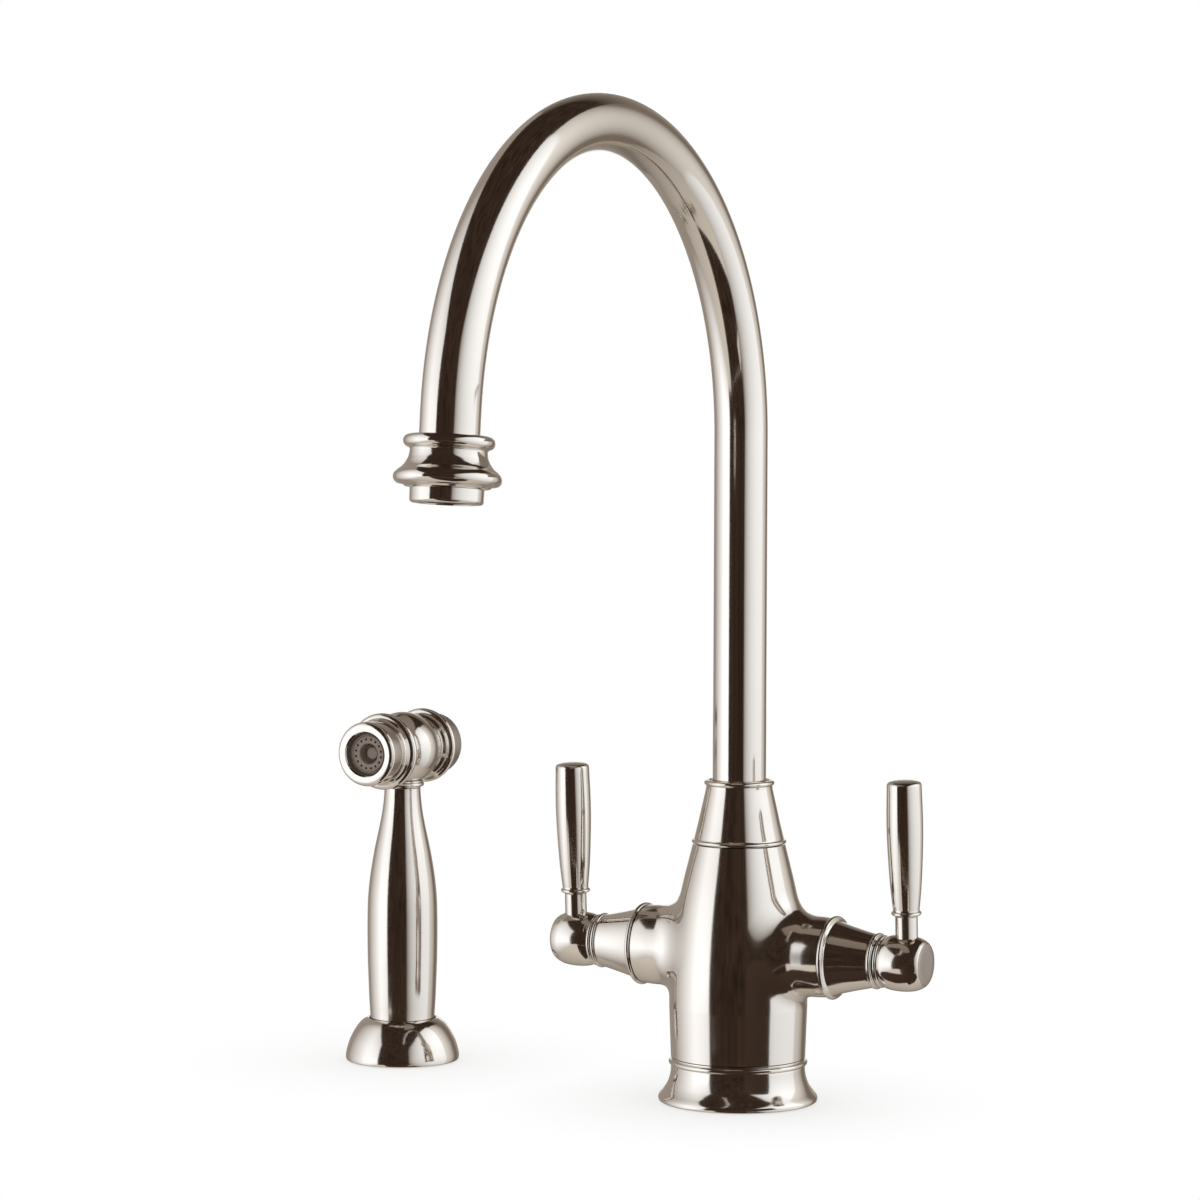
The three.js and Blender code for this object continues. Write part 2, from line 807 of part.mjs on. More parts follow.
const screwFoot = webEnd + seat;
const hubScrew = () =>
  turned(
    [
      at(screwRadius, spindleEnd - 6),
      at(screwRadius, screwFoot),
      at(screwHead, screwFoot),
      at(screwHead, screwFoot + 2.2),
    ],
    12,
  );
const capFoot = hubFlat + seat;
const hubCap = () =>
  turned([
    at(pocketRadius - seat, screwFoot + 2.2 + seat),
    at(pocketRadius - seat, capFoot),
    at(capRadius, capFoot),
    ...arc(capRadius - 0.6, capFoot + capThickness - 0.6, 0.6, 0, 90, 3),
  ]);
const leverStem = () =>
  turned(
    [
      at(stemSpigot, stemFoot + seat),
      at(stemSpigot, spotFace + seat),
      at(stemRadius, spotFace + seat),
      at(stemRadius, stemTop),
      at(gripBore - slack, stemTop),
      at(gripBore - slack, stemTop + 9),
    ],
    smallSides,
  );
const gripLength = gripTop - stemTop;
const gripLine = [
  at(gripFoot, stemTop + 2.6),
  at(gripFoot + 1.25, stemTop + 0.31 * gripLength),
  at(gripBelly, stemTop + 0.68 * gripLength),
  at(gripHead + 0.25, gripTop - 5),
  at(gripHead, gripTop - 2.2),
];
const leverGrip = () =>
  cut(
    turned([
      at(gripBead - 1, stemTop + seat),
      ...bead(gripBead, stemTop + seat + 0.9, 0.8),
      ...flowing(gripLine, 5),
      ...arc(gripHead - 1.1, gripTop - 1.5, 1.1, 0, 75, 3),
      at(gripHead - 2, gripTop),
    ], smallSides),
    drill(gripBore, stemTop - 1, stemTop + 9 + seat, innerSides),
  );

for (const [label, side] of [["hot", -1], ["cold", 1]]) {
  const axis = new THREE.Group();
  axis.position.z = valveHeight;
  root.add(axis);
  const fixed = (name, geometry, material) =>
    add(axis, `${label}_${name}`, alongX(geometry, side), material);
  fixed("port_seal", washer(discRadius, inletBore + 1, sealFoot, sealFoot + washerThickness), rubber);
  fixed("disc_fixed", ceramicDisc(discRadius).translate(0, 0, fixedFoot), ceramic);
  fixed("cartridge_body", cartridge(), brass);
  fixed("valve_shroud", shroud(), nickel);

  const turning = new THREE.Group();
  turning.rotation.x = radians(leverLean);
  axis.add(turning);
  const turns = (name, geometry, material) => add(turning, `${label}_${name}`, geometry, material);
  turns("disc_turning", alongX(ceramicDisc(discRadius - 0.2).translate(0, 0, turningFoot), side), ceramic);
  turns("spindle", alongX(spindle(), side), brass);
  turns("lever_hub", leverHub(side), nickel);
  turns("hub_screw", alongX(hubScrew(), side), steel);
  turns("hub_cap", alongX(hubCap(), side), satinNickel);
  turns("lever_stem", leverStem().translate(side * hubReach, 0, 0), nickel);
  turns("lever_grip", leverGrip().translate(side * hubReach, 0, 0), nickel);
}

// ---------------------------------------------------------------- side spray: holder and handle

const spray = new THREE.Group();
spray.position.set(sprayX, sprayY, 0);
root.add(spray);

const holderGasketInner = 14.6;
const holderGasketOuter = 19;
add(
  spray,
  "spray_holder",
  hollow(
    [
      at(holderRadius - 0.6, 0),
      at(holderRadius, 1.3),
      ...flowing([at(holderRadius - 0.5, 4.9), at(20.2, 9.7), at(17.8, 14.2)], 3),
      ...arc(holderMouth + 1.6, holderTop - 2.6, 2.6, 35, 90, 3),
      at(holderMouth + 0.5, holderTop),
    ],
    [
      at(holderGasketOuter + seat, 0),
      at(holderGasketOuter + seat, holderGasket + seat),
      at(holderGasketInner - seat, holderGasket + seat),
      at(holderGasketInner - seat, 0),
      at(holderBore, 0),
      at(holderBore, holderLedge),
      at(holderMouth - 0.5, holderLedge),
      at(holderMouth, holderTop - 0.6),
    ],
  ),
  nickel,
);
const holderSeal = washer(holderGasketOuter, holderGasketInner, 0, holderGasket, smallSides);
add(spray, "holder_gasket", holderSeal, rubber);
const bushFoot = holderGasket + 1;
const bushLedge = holderLedge + seat;
const bushRim = bushLedge + holderFlange;
const bushBore = holderBore - slack - holderBushWall;
add(
  spray,
  "holder_bush",
  hollow(
    [
      at(holderBore - slack, bushFoot),
      at(holderBore - slack, bushLedge),
      at(holderMouth - 0.5 - seat, bushLedge),
      at(holderMouth - 0.5 - seat, bushRim),
    ],
    [at(bushBore, bushFoot), at(bushBore, bushRim)],
    smallSides,
  ),
  bearingPlastic,
);

const shoulder = bushRim + seat;
const lowerSpigot = bushBore - slack;
const socketRadius = connectorRadius + slack;
const connectorFoot = 1;
const connectorTop = connectorFoot + connectorLength;
const washerTop = connectorTop + seat + washerThickness;
const ledgeFoot = washerTop + seat;
add(
  spray,
  "hose_connector",
  hollow(
    [
      at(connectorRadius - 2, connectorFoot),
      at(connectorRadius - 2, connectorFoot + 2),
      at(connectorRadius, connectorFoot + 3),
      at(connectorRadius, connectorTop),
    ],
    [at(connectorBore, connectorFoot), at(connectorBore, connectorTop)],
    smallSides,
  ),
  brass,
);
add(
  spray,
  "hose_washer",
  washer(connectorRadius, connectorBore + 1, connectorTop + seat, washerTop, smallSides),
  rubber,
);
const handleDrop = handleBelly - handleNeck;
const handleLine = [
  at(handleFoot + 0.3, 0.183 * handleTop),
  at(handleBelly - 0.04 * handleDrop, 0.342 * handleTop),
  at(handleBelly, 0.477 * handleTop),
  at(handleBelly - 0.11 * handleDrop, 0.659 * handleTop),
  at(handleBelly - 0.45 * handleDrop, 0.795 * handleTop),
  at(handleBelly - 0.77 * handleDrop, 0.885 * handleTop),
  at(handleBelly - 0.966 * handleDrop, 0.97 * handleTop),
];
const handleHollow = handleBelly - 3.4;
const handleEnd = handleTop + handleCollarHeight + 2 * seat + handleSpigotDepth;
const handleBore = handleSpigot - 1.4;
add(
  spray,
  "spray_handle",
  hollow(
    [
      at(lowerSpigot, connectorFoot + 3),
      at(lowerSpigot, shoulder),
      at(handleFoot - 0.2, shoulder),
      at(handleFoot, shoulder + 1),
      ...flowing(handleLine, 8),
      at(handleNeck, handleTop),
      at(handleSpigot, handleTop),
      at(handleSpigot, handleEnd),
    ],
    [
      at(socketRadius, connectorFoot + 3),
      at(socketRadius, ledgeFoot),
      at(connectorBore + 1, ledgeFoot),
      at(connectorBore + 1, ledgeFoot + 2),
      at(handleHollow, ledgeFoot + 6),
      at(handleHollow, 0.62 * handleTop),
      at(handleBore, 0.866 * handleTop),
      at(handleBore, handleEnd),
    ],
    smallSides + 2,
  ),
  nickel,
);
const collarFoot = handleTop + seat;
add(
  spray,
  "handle_collar",
  hollow(
    [
      at(handleNeck + 0.3, collarFoot),
      ...bead(handleCollarRadius, collarFoot + handleCollarHeight / 2, 0.8),
      at(headBoss, collarFoot + handleCollarHeight),
    ],
    [at(handleSpigot + seat, collarFoot), at(handleSpigot + seat, collarFoot + handleCollarHeight)],
    smallSides,
  ),
  nickel,
);

// ---------------------------------------------------------------- side spray: head

const headHeight = handleTop + headRise;
const head = new THREE.Group();
head.position.z = headHeight;
head.rotation.x = Math.PI / 2;
spray.add(head);

const bossFoot = collarFoot + handleCollarHeight + seat;
const seatBack = valveSeatAt - valveSeatWall;
const waterRadius = 6.4;
const waterBack = -6;
const glandBack = waterBack - glandDepth;
const ballEdge = THREE.MathUtils.radToDeg(Math.acos(headNeck / headBall));
const headPlungerHole = plungerRadius + slack;

// The ball of the spray head with a turned neck before and behind it and a boss for the handle.
function sprayHead() {
  const ball = turned([
    at(headNeck - 0.6, -headRear),
    at(headNeck - 0.6, -headRear + 0.9),
    at(headNeck, -headRear + 1),
    ...arc(0, 0, headBall, -ballEdge, ballEdge, 7),
    at(headNeck, headFront),
  ], showSides);
  const boss = rod(headBoss, bossFoot - headHeight, -headBall / 2, smallSides).rotateX(-Math.PI / 2);
  const riserEnd = -(headHeight - (bossFoot + handleSpigotDepth + seat));
  const riserWide = drill(handleSpigot + seat, bossFoot - headHeight - 1, riserEnd);
  const riserNarrow = drill(handleBore, riserEnd - 1, 0);
  return cut(
    join(ball, boss),
    drill(headThread + seat, valveSeatAt, headFront + 1, smallSides),
    drill(valveHole, seatBack - 1, valveSeatAt + 1, innerSides),
    drill(waterRadius, waterBack, seatBack, innerSides),
    drill(glandRadius, glandBack, waterBack + 1, innerSides),
    drill(headPlungerHole, -headRear - 1, glandBack + 1, 12),
    riserWide.rotateX(-Math.PI / 2),
    riserNarrow.rotateX(-Math.PI / 2),
  );
}
add(head, "spray_head", sprayHead(), nickel);
add(
  head,
  "gland_seal",
  washer(glandRadius - seat, headPlungerHole, glandBack + seat, waterBack, 12),
  rubber,
);

const barrelFoot = headFront + seat;
const lipBack = barrelEnd - plateRecess;
const barrelBore = plateRadius + seat;
add(
  head,
  "spray_barrel",
  hollow(
    [
      at(headThread, barrelFoot - headThreadDepth),
      at(headThread, barrelFoot),
      at(headNeck + 0.6, barrelFoot),
      ...bead(barrelRing, barrelFoot + 2, 1.8, 4),
      at(barrelRadius - 0.5, barrelFoot + 4.6),
      at(barrelRadius, barrelFoot + 5.8),
      at(barrelRadius, barrelEnd - 1.6),
      ...arc(barrelLip, barrelEnd - 1.3, 1.3, 0, 90, 3),
    ],
    [
      at(headThread - 1.6, barrelFoot - headThreadDepth),
      at(headThread - 1.6, barrelFoot),
      at(barrelBore, barrelFoot + 1),
      at(barrelBore, lipBack),
      at(barrelMouth - 0.4, lipBack),
      at(barrelMouth, barrelEnd - 0.4),
    ],
  ),
  nickel,
);

// The spray plate: a ring of fine holes round a recess.
const plateFront = lipBack - seat;
function sprayPlate() {
  const plate = new THREE.Shape(circle(plateRadius, showSides));
  plate.holes.push(new THREE.Path(circle(plateCentre, innerSides)));
  const disc = new THREE.ExtrudeGeometry(plate, { depth: plateThickness, bevelEnabled: false });
  disc.translate(0, 0, plateFront - plateThickness);
  const face = washer(plateFace, plateCentre, plateFront - 0.5, plateFront + 0.6, smallSides);
  const holes = Array.from({ length: holeCount }, (_, i) => {
    const turn = (2 * Math.PI * (i + 0.5)) / holeCount;
    const hole = drill(holeRadius, plateFront - plateThickness - 1, plateFront + 2, 4);
    return hole.translate(holeCircle * Math.cos(turn), holeCircle * Math.sin(turn), 0);
  });
  return cut(join(disc, face), ...holes);
}
add(head, "spray_plate", sprayPlate(), sprayPlastic);
const plateBack = plateFront - plateThickness;
add(
  head,
  "plate_seal",
  washer(plateRadius, plateCentre + 2.6, plateBack - seat - 2, plateBack - seat, smallSides),
  rubber,
);
add(
  head,
  "stream_plug",
  turned(
    [
      at(plateCentre + 2, plateBack - seat - 1.4),
      at(plateCentre + 2, plateBack - seat),
      at(plateCentre - seat, plateBack - seat),
      at(plateCentre - seat, plateBack + 0.4),
      at(plugRadius, plateBack + 0.4),
      at(plugRadius - 0.2, plateBack + 1.4),
    ],
    innerSides,
  ),
  sprayPlastic,
);

// The guide ring behind the ball, and the button that slides in it.
const pocketFloor = -(rearRingEnd - buttonGrip - buttonTravel - seat);
const ringFront = -headRear - seat;
const buttonFront = -(rearRingEnd - buttonGrip);
add(
  head,
  "rear_ring",
  hollow(
    [
      at(buttonRadius + 0.9, -rearRingEnd),
      ...bead(rearRingRadius, -rearRingEnd + 1.9, 1.5, 3),
      at(headNeck + 1.4, -rearRingEnd + 3.9),
      at(headNeck + 1.2, ringFront - 0.6),
      at(headNeck + 0.2, ringFront),
    ],
    [
      at(buttonRadius + slack, -rearRingEnd),
      at(buttonRadius + slack, pocketFloor),
      at(plungerRadius + 2 * slack, pocketFloor),
      at(plungerRadius + 2 * slack, ringFront),
    ],
  ),
  nickel,
);
const buttonInside = -buttonEnd + buttonWall;
add(
  head,
  "thumb_button",
  cut(
    turned([
      at(buttonRadius - 1.2, -buttonEnd),
      ...arc(buttonRadius - 0.9, -buttonEnd + 0.9, 0.9, -60, 0, 3),
      at(buttonRadius, buttonFront),
    ]),
    hollow(
      [at(buttonRadius - buttonWall, buttonInside), at(buttonRadius - buttonWall, buttonFront + 1)],
      [at(plungerRadius + 2, buttonInside), at(plungerRadius + 2, buttonFront + 1)],
      smallSides,
    ),
    drill(plungerRadius + 3, buttonInside + 4.6, buttonFront + 2, smallSides),
    drill(plungerRadius + slack, buttonInside, buttonFront, 12),
  ),
  satinNickel,
);
const sealFront = valveSeatAt + seat + sealThickness;
add(
  head,
  "valve_plunger",
  turned(
    [
      at(plungerRadius, buttonInside + seat),
      at(plungerRadius, sealFront + seat),
      at(plungerHead, sealFront + seat),
      at(plungerHead, sealFront + seat + 1),
    ],
    12,
  ),
  brass,
);
add(
  head,
  "plunger_seal",
  washer(plungerHead, plungerRadius + slack, valveSeatAt + seat, sealFront),
  rubber,
);

// The spring that pushes the button back, wound round the plunger.
class SpringLine extends THREE.Curve {
  getPoint(share) {
    const turn = 2 * Math.PI * springTurns * share;
    const low = buttonInside + seat + springWire;
    const high = pocketFloor - seat - springWire;
    return new THREE.Vector3(
      springRadius * Math.cos(turn),
      springRadius * Math.sin(turn),
      low + (high - low) * share,
    );
  }
}
add(
  head,
  "return_spring",
  new THREE.ExtrudeGeometry(new THREE.Shape(circle(springWire, 4)), {
    steps: 7 * springTurns,
    extrudePath: new SpringLine(),
  }),
  steel,
);

export default root;
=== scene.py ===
import json
import math

import bmesh
import bpy
from mathutils import Matrix, Vector

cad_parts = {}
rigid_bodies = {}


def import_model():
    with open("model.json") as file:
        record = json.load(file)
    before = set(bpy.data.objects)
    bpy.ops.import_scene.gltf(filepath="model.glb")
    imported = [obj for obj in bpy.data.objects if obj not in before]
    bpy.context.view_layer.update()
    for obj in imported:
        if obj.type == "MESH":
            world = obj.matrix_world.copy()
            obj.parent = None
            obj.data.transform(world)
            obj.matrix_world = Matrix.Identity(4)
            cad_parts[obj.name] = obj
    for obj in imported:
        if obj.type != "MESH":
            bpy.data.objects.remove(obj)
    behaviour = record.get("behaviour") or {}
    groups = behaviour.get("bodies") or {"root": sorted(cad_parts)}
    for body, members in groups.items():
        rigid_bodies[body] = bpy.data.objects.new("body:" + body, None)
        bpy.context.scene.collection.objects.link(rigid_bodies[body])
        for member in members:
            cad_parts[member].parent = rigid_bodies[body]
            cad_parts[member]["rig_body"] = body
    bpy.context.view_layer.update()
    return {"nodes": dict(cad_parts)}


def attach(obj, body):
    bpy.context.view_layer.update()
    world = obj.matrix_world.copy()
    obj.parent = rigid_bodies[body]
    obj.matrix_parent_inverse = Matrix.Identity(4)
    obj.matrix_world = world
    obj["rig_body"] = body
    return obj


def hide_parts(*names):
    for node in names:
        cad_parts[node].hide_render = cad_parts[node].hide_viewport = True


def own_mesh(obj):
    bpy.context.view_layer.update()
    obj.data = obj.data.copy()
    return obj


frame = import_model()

# Profiles are pairs of radius and height in millimetres, and every mesh is made in metres.
MM = 0.001
FINE = 224  # facets round a large turned piece
PLAIN = 128  # facets round a small one
CREASE = math.radians(35)  # edges that turn more than this stay sharp

# Where things stand, in millimetres from the middle of the tap's foot.
BODY_FOOT, BODY_TOP, VALVE_HEIGHT = 16.8, 97.0, 56.6
SPRAY_X, SPRAY_Y, HEAD_HEIGHT = -156.7, 18.1, 124.2


# ---------- nodes

def operator(operation, swapped=False):
    def work(self, other):
        return self.maths(operation, *((other, self) if swapped else (self, other)))
    return work


class Wire:
    """One socket of a node tree. Maths written on it adds the nodes that do it."""

    def __init__(self, tree, socket):
        self.tree = tree
        self.socket = socket

    def maths(self, operation, *values):
        return self.tree.node("ShaderNodeMath", {"operation": operation}, dict(enumerate(values)))

    __add__, __radd__ = operator("ADD"), operator("ADD", True)
    __sub__, __rsub__ = operator("SUBTRACT"), operator("SUBTRACT", True)
    __mul__, __rmul__ = operator("MULTIPLY"), operator("MULTIPLY", True)
    __truediv__, __rtruediv__ = operator("DIVIDE"), operator("DIVIDE", True)
    __pow__, __rpow__ = operator("POWER"), operator("POWER", True)


class Tree:
    """A node tree with one way to add a node: its type, its settings, then its sockets' values or links."""

    def __init__(self, tree):
        self.tree = tree

    def node(self, kind, settings=None, sockets=None, out=0):
        made = self.tree.nodes.new(kind)
        for name, value in (settings or {}).items():
            setattr(made, name, value)
        for key, value in (sockets or {}).items():
            for one in value if isinstance(value, list) else [value]:
                if isinstance(one, Wire):
                    self.tree.links.new(one.socket, made.inputs[key])
                else:
                    made.inputs[key].default_value = one
        return Wire(self, made.outputs[out]) if made.outputs else made


# ---------- finishes

class Finish(Tree):
    """A material with one Principled shader."""

    def __init__(self, name):
        self.material = bpy.data.materials.new(name)
        self.material.use_nodes = True
        super().__init__(self.material.node_tree)
        self.shader = self.tree.nodes["Principled BSDF"]
        self.place = self.node("ShaderNodeTexCoord", out="Object")

    def noise(self, scale, detail, place=None):
        sockets = {"Vector": place or self.place, "Scale": scale, "Detail": detail, "Roughness": 0.55}
        return self.node("ShaderNodeTexNoise", {"noise_dimensions": "3D"}, sockets)

    def stretched(self, x, y, z):
        sockets = {"Vector": self.place, "Scale": (x, y, z)}
        return self.node("ShaderNodeMapping", {"vector_type": "POINT"}, sockets)

    def mix(self, factor, *colors):
        """From the first colour to the second. A Mix node's colours are its inputs 6 and 7 and its output 2."""
        sockets = {6 + k: c if isinstance(c, Wire) else (*c, 1.0) for k, c in enumerate(colors)}
        settings = {"data_type": "RGBA", "clamp_factor": True}
        return self.node("ShaderNodeMix", settings, {0: factor, **sockets}, out=2)

    def between(self, value, low, high, to_low=0.0, to_high=1.0):
        sockets = {"Value": value, "From Min": low, "From Max": high, "To Min": to_low, "To Max": to_high}
        return self.node("ShaderNodeMapRange", {"clamp": True}, sockets)

    def bump(self, height, strength, depth):
        return self.node("ShaderNodeBump", None, {"Height": height, "Strength": strength, "Distance": depth})

    def set(self, **sockets):
        for name, value in sockets.items():
            socket = self.shader.inputs[name.replace("_", " ")]
            if isinstance(value, Wire):
                self.tree.links.new(value.socket, socket)
            else:
                socket.default_value = value
        return self.material


def polished_nickel():
    """Warm polished plate: a slow drift of tint, a faint haze of wiping, and the swell that buffing leaves."""
    paint = Finish("polished nickel")
    drift = paint.noise(14.0, 2.0)
    wiped = paint.noise(70.0, 5.0, paint.stretched(1.0, 1.0, 0.35))
    hair = paint.noise(2600.0, 2.0, paint.stretched(1.0, 1.0, 0.05))
    swell = paint.noise(38.0, 1.0)
    haze = paint.between(wiped, 0.5, 0.8)
    return paint.set(
        Base_Color=paint.mix(paint.between(drift, 0.3, 0.7), (0.755, 0.703, 0.640), (0.785, 0.736, 0.676)),
        Metallic=1.0,
        Roughness=haze * 0.03 + hair * 0.02 + 0.1,
        Normal=paint.bump(swell, 0.25, 0.0001),
    )


def satin_nickel(name, axis, centre):
    """Nickel left with its fine turned rings, which run round the piece's own axis, through a centre given in
    millimetres."""
    paint = Finish(name)
    sockets = {"Vector": paint.place, "Location": tuple(-c * MM for c in centre)}
    centred = paint.node("ShaderNodeMapping", {"vector_type": "POINT"}, sockets)
    rings = paint.node(
        "ShaderNodeTexWave", {"wave_type": "RINGS", "rings_direction": axis},
        {"Vector": centred, "Scale": 1100.0, "Distortion": 0.6, "Detail": 2.0, "Detail Scale": 2.0},
    )
    cloud = paint.noise(60.0, 4.0)
    grain = paint.noise(1800.0, 2.0)
    return paint.set(
        Base_Color=paint.mix(paint.between(cloud, 0.3, 0.7), (0.465, 0.410, 0.358), (0.520, 0.463, 0.410)),
        Metallic=1.0,
        Roughness=cloud * 0.10 + grain * 0.06 + 0.27,
        Normal=paint.bump(rings * 0.7 + grain * 0.3, 0.14, 0.00003),
    )


def turned_brass():
    """Bare brass with the fine lines of the lathe."""
    paint = Finish("machined brass")
    cloud = paint.noise(45.0, 4.0)
    lines = paint.noise(1500.0, 2.0, paint.stretched(0.15, 0.15, 1.0))
    return paint.set(
        Base_Color=paint.mix(paint.between(cloud, 0.35, 0.7), (0.62, 0.44, 0.19), (0.72, 0.54, 0.27)),
        Metallic=1.0,
        Roughness=cloud * 0.15 + lines * 0.1 + 0.2,
        Normal=paint.bump(lines, 0.3, 0.00004),
    )


def drawn_steel():
    """Plain steel wire and screws, a little dull."""
    paint = Finish("drawn steel")
    cloud = paint.noise(80.0, 3.0)
    lines = paint.noise(2200.0, 2.0)
    return paint.set(
        Base_Color=paint.mix(paint.between(cloud, 0.3, 0.7), (0.50, 0.50, 0.49), (0.62, 0.62, 0.60)),
        Metallic=1.0,
        Roughness=cloud * 0.12 + lines * 0.08 + 0.22,
        Normal=paint.bump(lines, 0.2, 0.00003),
    )


def moulded(name, dark, light, rough, grain_size=900.0, grain=0.3, sheen=0.35, wall=None):
    """A moulded plastic, rubber or ceramic with its own fine grain and a slow change of tone. Where a wall
    colour is given, it is painted shade: the spray's plastic is painted that near black colour farther than 7.9
    mm from the spray head's axis, for the shadow the barrel's lip casts on the wall round its plate of holes."""
    paint = Finish(name)
    cloud = paint.noise(65.0, 4.0)
    fine = paint.noise(grain_size, 3.0)
    color = paint.mix(paint.between(cloud, 0.3, 0.7), dark, light)
    if wall:
        sockets = {"Vector": paint.place}
        side, height = [paint.node("ShaderNodeSeparateXYZ", None, sockets, out=way) for way in "XZ"]
        side, rise = side - SPRAY_X * MM, height - HEAD_HEIGHT * MM
        away = (side * side + rise * rise) ** 0.5
        # painted shade: beyond 7.9 mm from the spray head's axis the plastic turns near black, on the recessed
        # rim wall round the plate of holes and on every piece farther off, such as the aerator's honeycomb
        color = paint.mix(paint.between(away, 7.6 * MM, 7.9 * MM), color, wall)
    return paint.set(
        Base_Color=color,
        Roughness=cloud * 0.12 + fine * 0.10 + rough,
        Normal=paint.bump(fine, grain, 0.00006),
        Specular_IOR_Level=sheen,
    )


NICKEL = polished_nickel()
SATIN_HUB = satin_nickel("satin nickel of the lever ends", "X", (0.0, 0.0, VALVE_HEIGHT))
SATIN_BUTTON = satin_nickel("satin nickel of the button", "Y", (SPRAY_X, 0.0, HEAD_HEIGHT))
BRASS = turned_brass()
STEEL = drawn_steel()
RUBBER = moulded("black rubber", (0.012, 0.012, 0.012), (0.03, 0.029, 0.028), 0.62)
CERAMIC = moulded("lapped ceramic", (0.80, 0.77, 0.71), (0.86, 0.83, 0.78), 0.12, 1400.0, 0.08, 0.5)
BEARING = moulded("bearing plastic", (0.74, 0.73, 0.69), (0.82, 0.81, 0.77), 0.35)
# The near black wall colour is painted shade on the rim wall round the plate of holes, under the barrel's lip;
# the aerator's honeycomb, far from the head's axis, is painted near black all over.
SPRAY_PLASTIC = moulded(
    "grey brown spray plastic", (0.222, 0.170, 0.136), (0.266, 0.208, 0.170), 0.38, grain=0.08, sheen=0.5,
    wall=(0.056, 0.040, 0.030),
)


# ---------- profiles

def arc(radius, height, size, start, end, steps):
    """Part of a circle, from one angle in degrees to another."""
    turns = [math.radians(start + (end - start) * i / steps) for i in range(steps + 1)]
    return [(radius + size * math.cos(t), height + size * math.sin(t)) for t in turns]


def bead(radius, height, half):
    """A half-round bead that stands out to a radius."""
    return arc(radius - half, height, half, -90, 90, 20)


def rod(radius, low, high):
    return [(radius, low), (radius, high)]


def flowing(points, steps):
    """A smooth line through a few points, with so many steps from each to the next."""
    ends = [points[0], *points, points[-1]]
    made = []
    for a, b, c, d in zip(ends, ends[1:], ends[2:], ends[3:]):
        for i in range(steps):
            t = i / steps
            made.append(tuple(
                0.5 * (
                    2 * q + (r - p) * t + (2 * p - 5 * q + 4 * r - s) * t * t + (3 * q - p - 3 * r + s) * t ** 3
                )
                for p, q, r, s in zip(a, b, c, d)
            ))
    return [*made, points[-1]]


def eased(points, size=0.25, closed=False):
    """Rounds the sharp corners of a profile, with a short flat held on each side of every rounding."""
    same, least_turn, most_turn, share = 1e-4, 0.42, 2.4, 0.3
    line = [Vector(p) for p in points]
    line = line[:1] + [here for last, here in zip(line, line[1:]) if (here - last).length > same]
    if closed and (line[0] - line[-1]).length < same:
        line.pop()
    made = []
    for i, here in enumerate(line):
        if not closed and i in (0, len(line) - 1):
            made.append(here)
            continue
        before = here - line[i - 1]
        after = line[(i + 1) % len(line)] - here
        turn = before.angle(after)
        if turn < least_turn:
            made.append(here)
            continue
        reach = min(size * math.tan(min(turn, most_turn) / 2), share * before.length, share * after.length)
        start = here - before.normalized() * reach
        end = here + after.normalized() * reach
        made.append(here - before.normalized() * reach * 1.4)
        for k in range(5):
            t = k / 4
            made.append(start * (1 - t) ** 2 + here * (2 * t * (1 - t)) + end * t * t)
        made.append(here + after.normalized() * reach * 1.4)
    return [(p.x, p.y) for p in made]


# ---------- pieces

def finished(name, mesh, material, node, *others):
    """Makes a piece of a mesh, which stands for one or more CAD nodes and rides on their body."""
    mesh.materials.clear()
    mesh.materials.append(material)
    piece = bpy.data.objects.new(name, mesh)
    bpy.context.scene.collection.objects.link(piece)
    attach(piece, frame["nodes"][node]["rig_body"])
    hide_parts(node, *others)
    return piece


def smoothed(mesh):
    mesh.shade_smooth()
    mesh.set_sharp_from_angle(angle=CREASE)
    return mesh


def mesh_of(bm, name):
    """The finished mesh, joined up, facing outward and smooth between its sharp edges."""
    bmesh.ops.remove_doubles(bm, verts=bm.verts, dist=1e-7)
    bmesh.ops.recalc_face_normals(bm, faces=bm.faces)
    mesh = bpy.data.meshes.new(name)
    bm.to_mesh(mesh)
    bm.free()
    return smoothed(mesh)


def lathe(points, sides, closed):
    """A turned form about Z in millimetres, from a line that runs up the outside."""
    bm = bmesh.new()
    turns = [2 * math.pi * k / sides for k in range(sides)]
    rings = []
    for radius, height in points:
        ways = [(math.cos(t), math.sin(t)) for t in turns] if radius > 1e-6 else [(0.0, 0.0)]
        rings.append([bm.verts.new((radius * x, radius * y, height)) for x, y in ways])
    for low, high in zip(rings, rings[1:] + rings[:1] if closed else rings[1:]):
        for k in range(sides):
            n = (k + 1) % sides
            corners = [low[k % len(low)], low[n % len(low)], high[n % len(high)], high[k % len(high)]]
            corners = list(dict.fromkeys(corners))  # a ring that is one point on the axis gives a triangle
            if len(corners) > 2:
                bm.faces.new(corners)
    return bm


def turned(name, outside, sides=FINE, place=Matrix.Identity(4), inside=None, ease=0.25):
    """A solid turned piece, or a hollow one where an inside line is given, set in its place in metres."""
    if inside is None:
        line = eased([(0.0, outside[0][1]), *outside, (0.0, outside[-1][1])], ease)
    else:
        line = eased([*outside, *reversed(inside)], ease, closed=True)
    bm = lathe(line, sides, inside is not None)
    bmesh.ops.transform(bm, matrix=place @ Matrix.Scale(MM, 4), verts=bm.verts)
    return mesh_of(bm, name)


def evaluated(holder, name):
    """The holder's mesh with its modifiers worked into it; the holder goes."""
    graph = bpy.context.evaluated_depsgraph_get()
    source = holder.evaluated_get(graph)
    mesh = bpy.data.meshes.new_from_object(source, preserve_all_data_layers=True, depsgraph=graph)
    mesh.name = name
    bpy.data.objects.remove(holder)
    return mesh


def held(mesh):
    """An object that carries the mesh while modifiers work on it."""
    holder = bpy.data.objects.new("holder", mesh)
    bpy.context.scene.collection.objects.link(holder)
    return holder


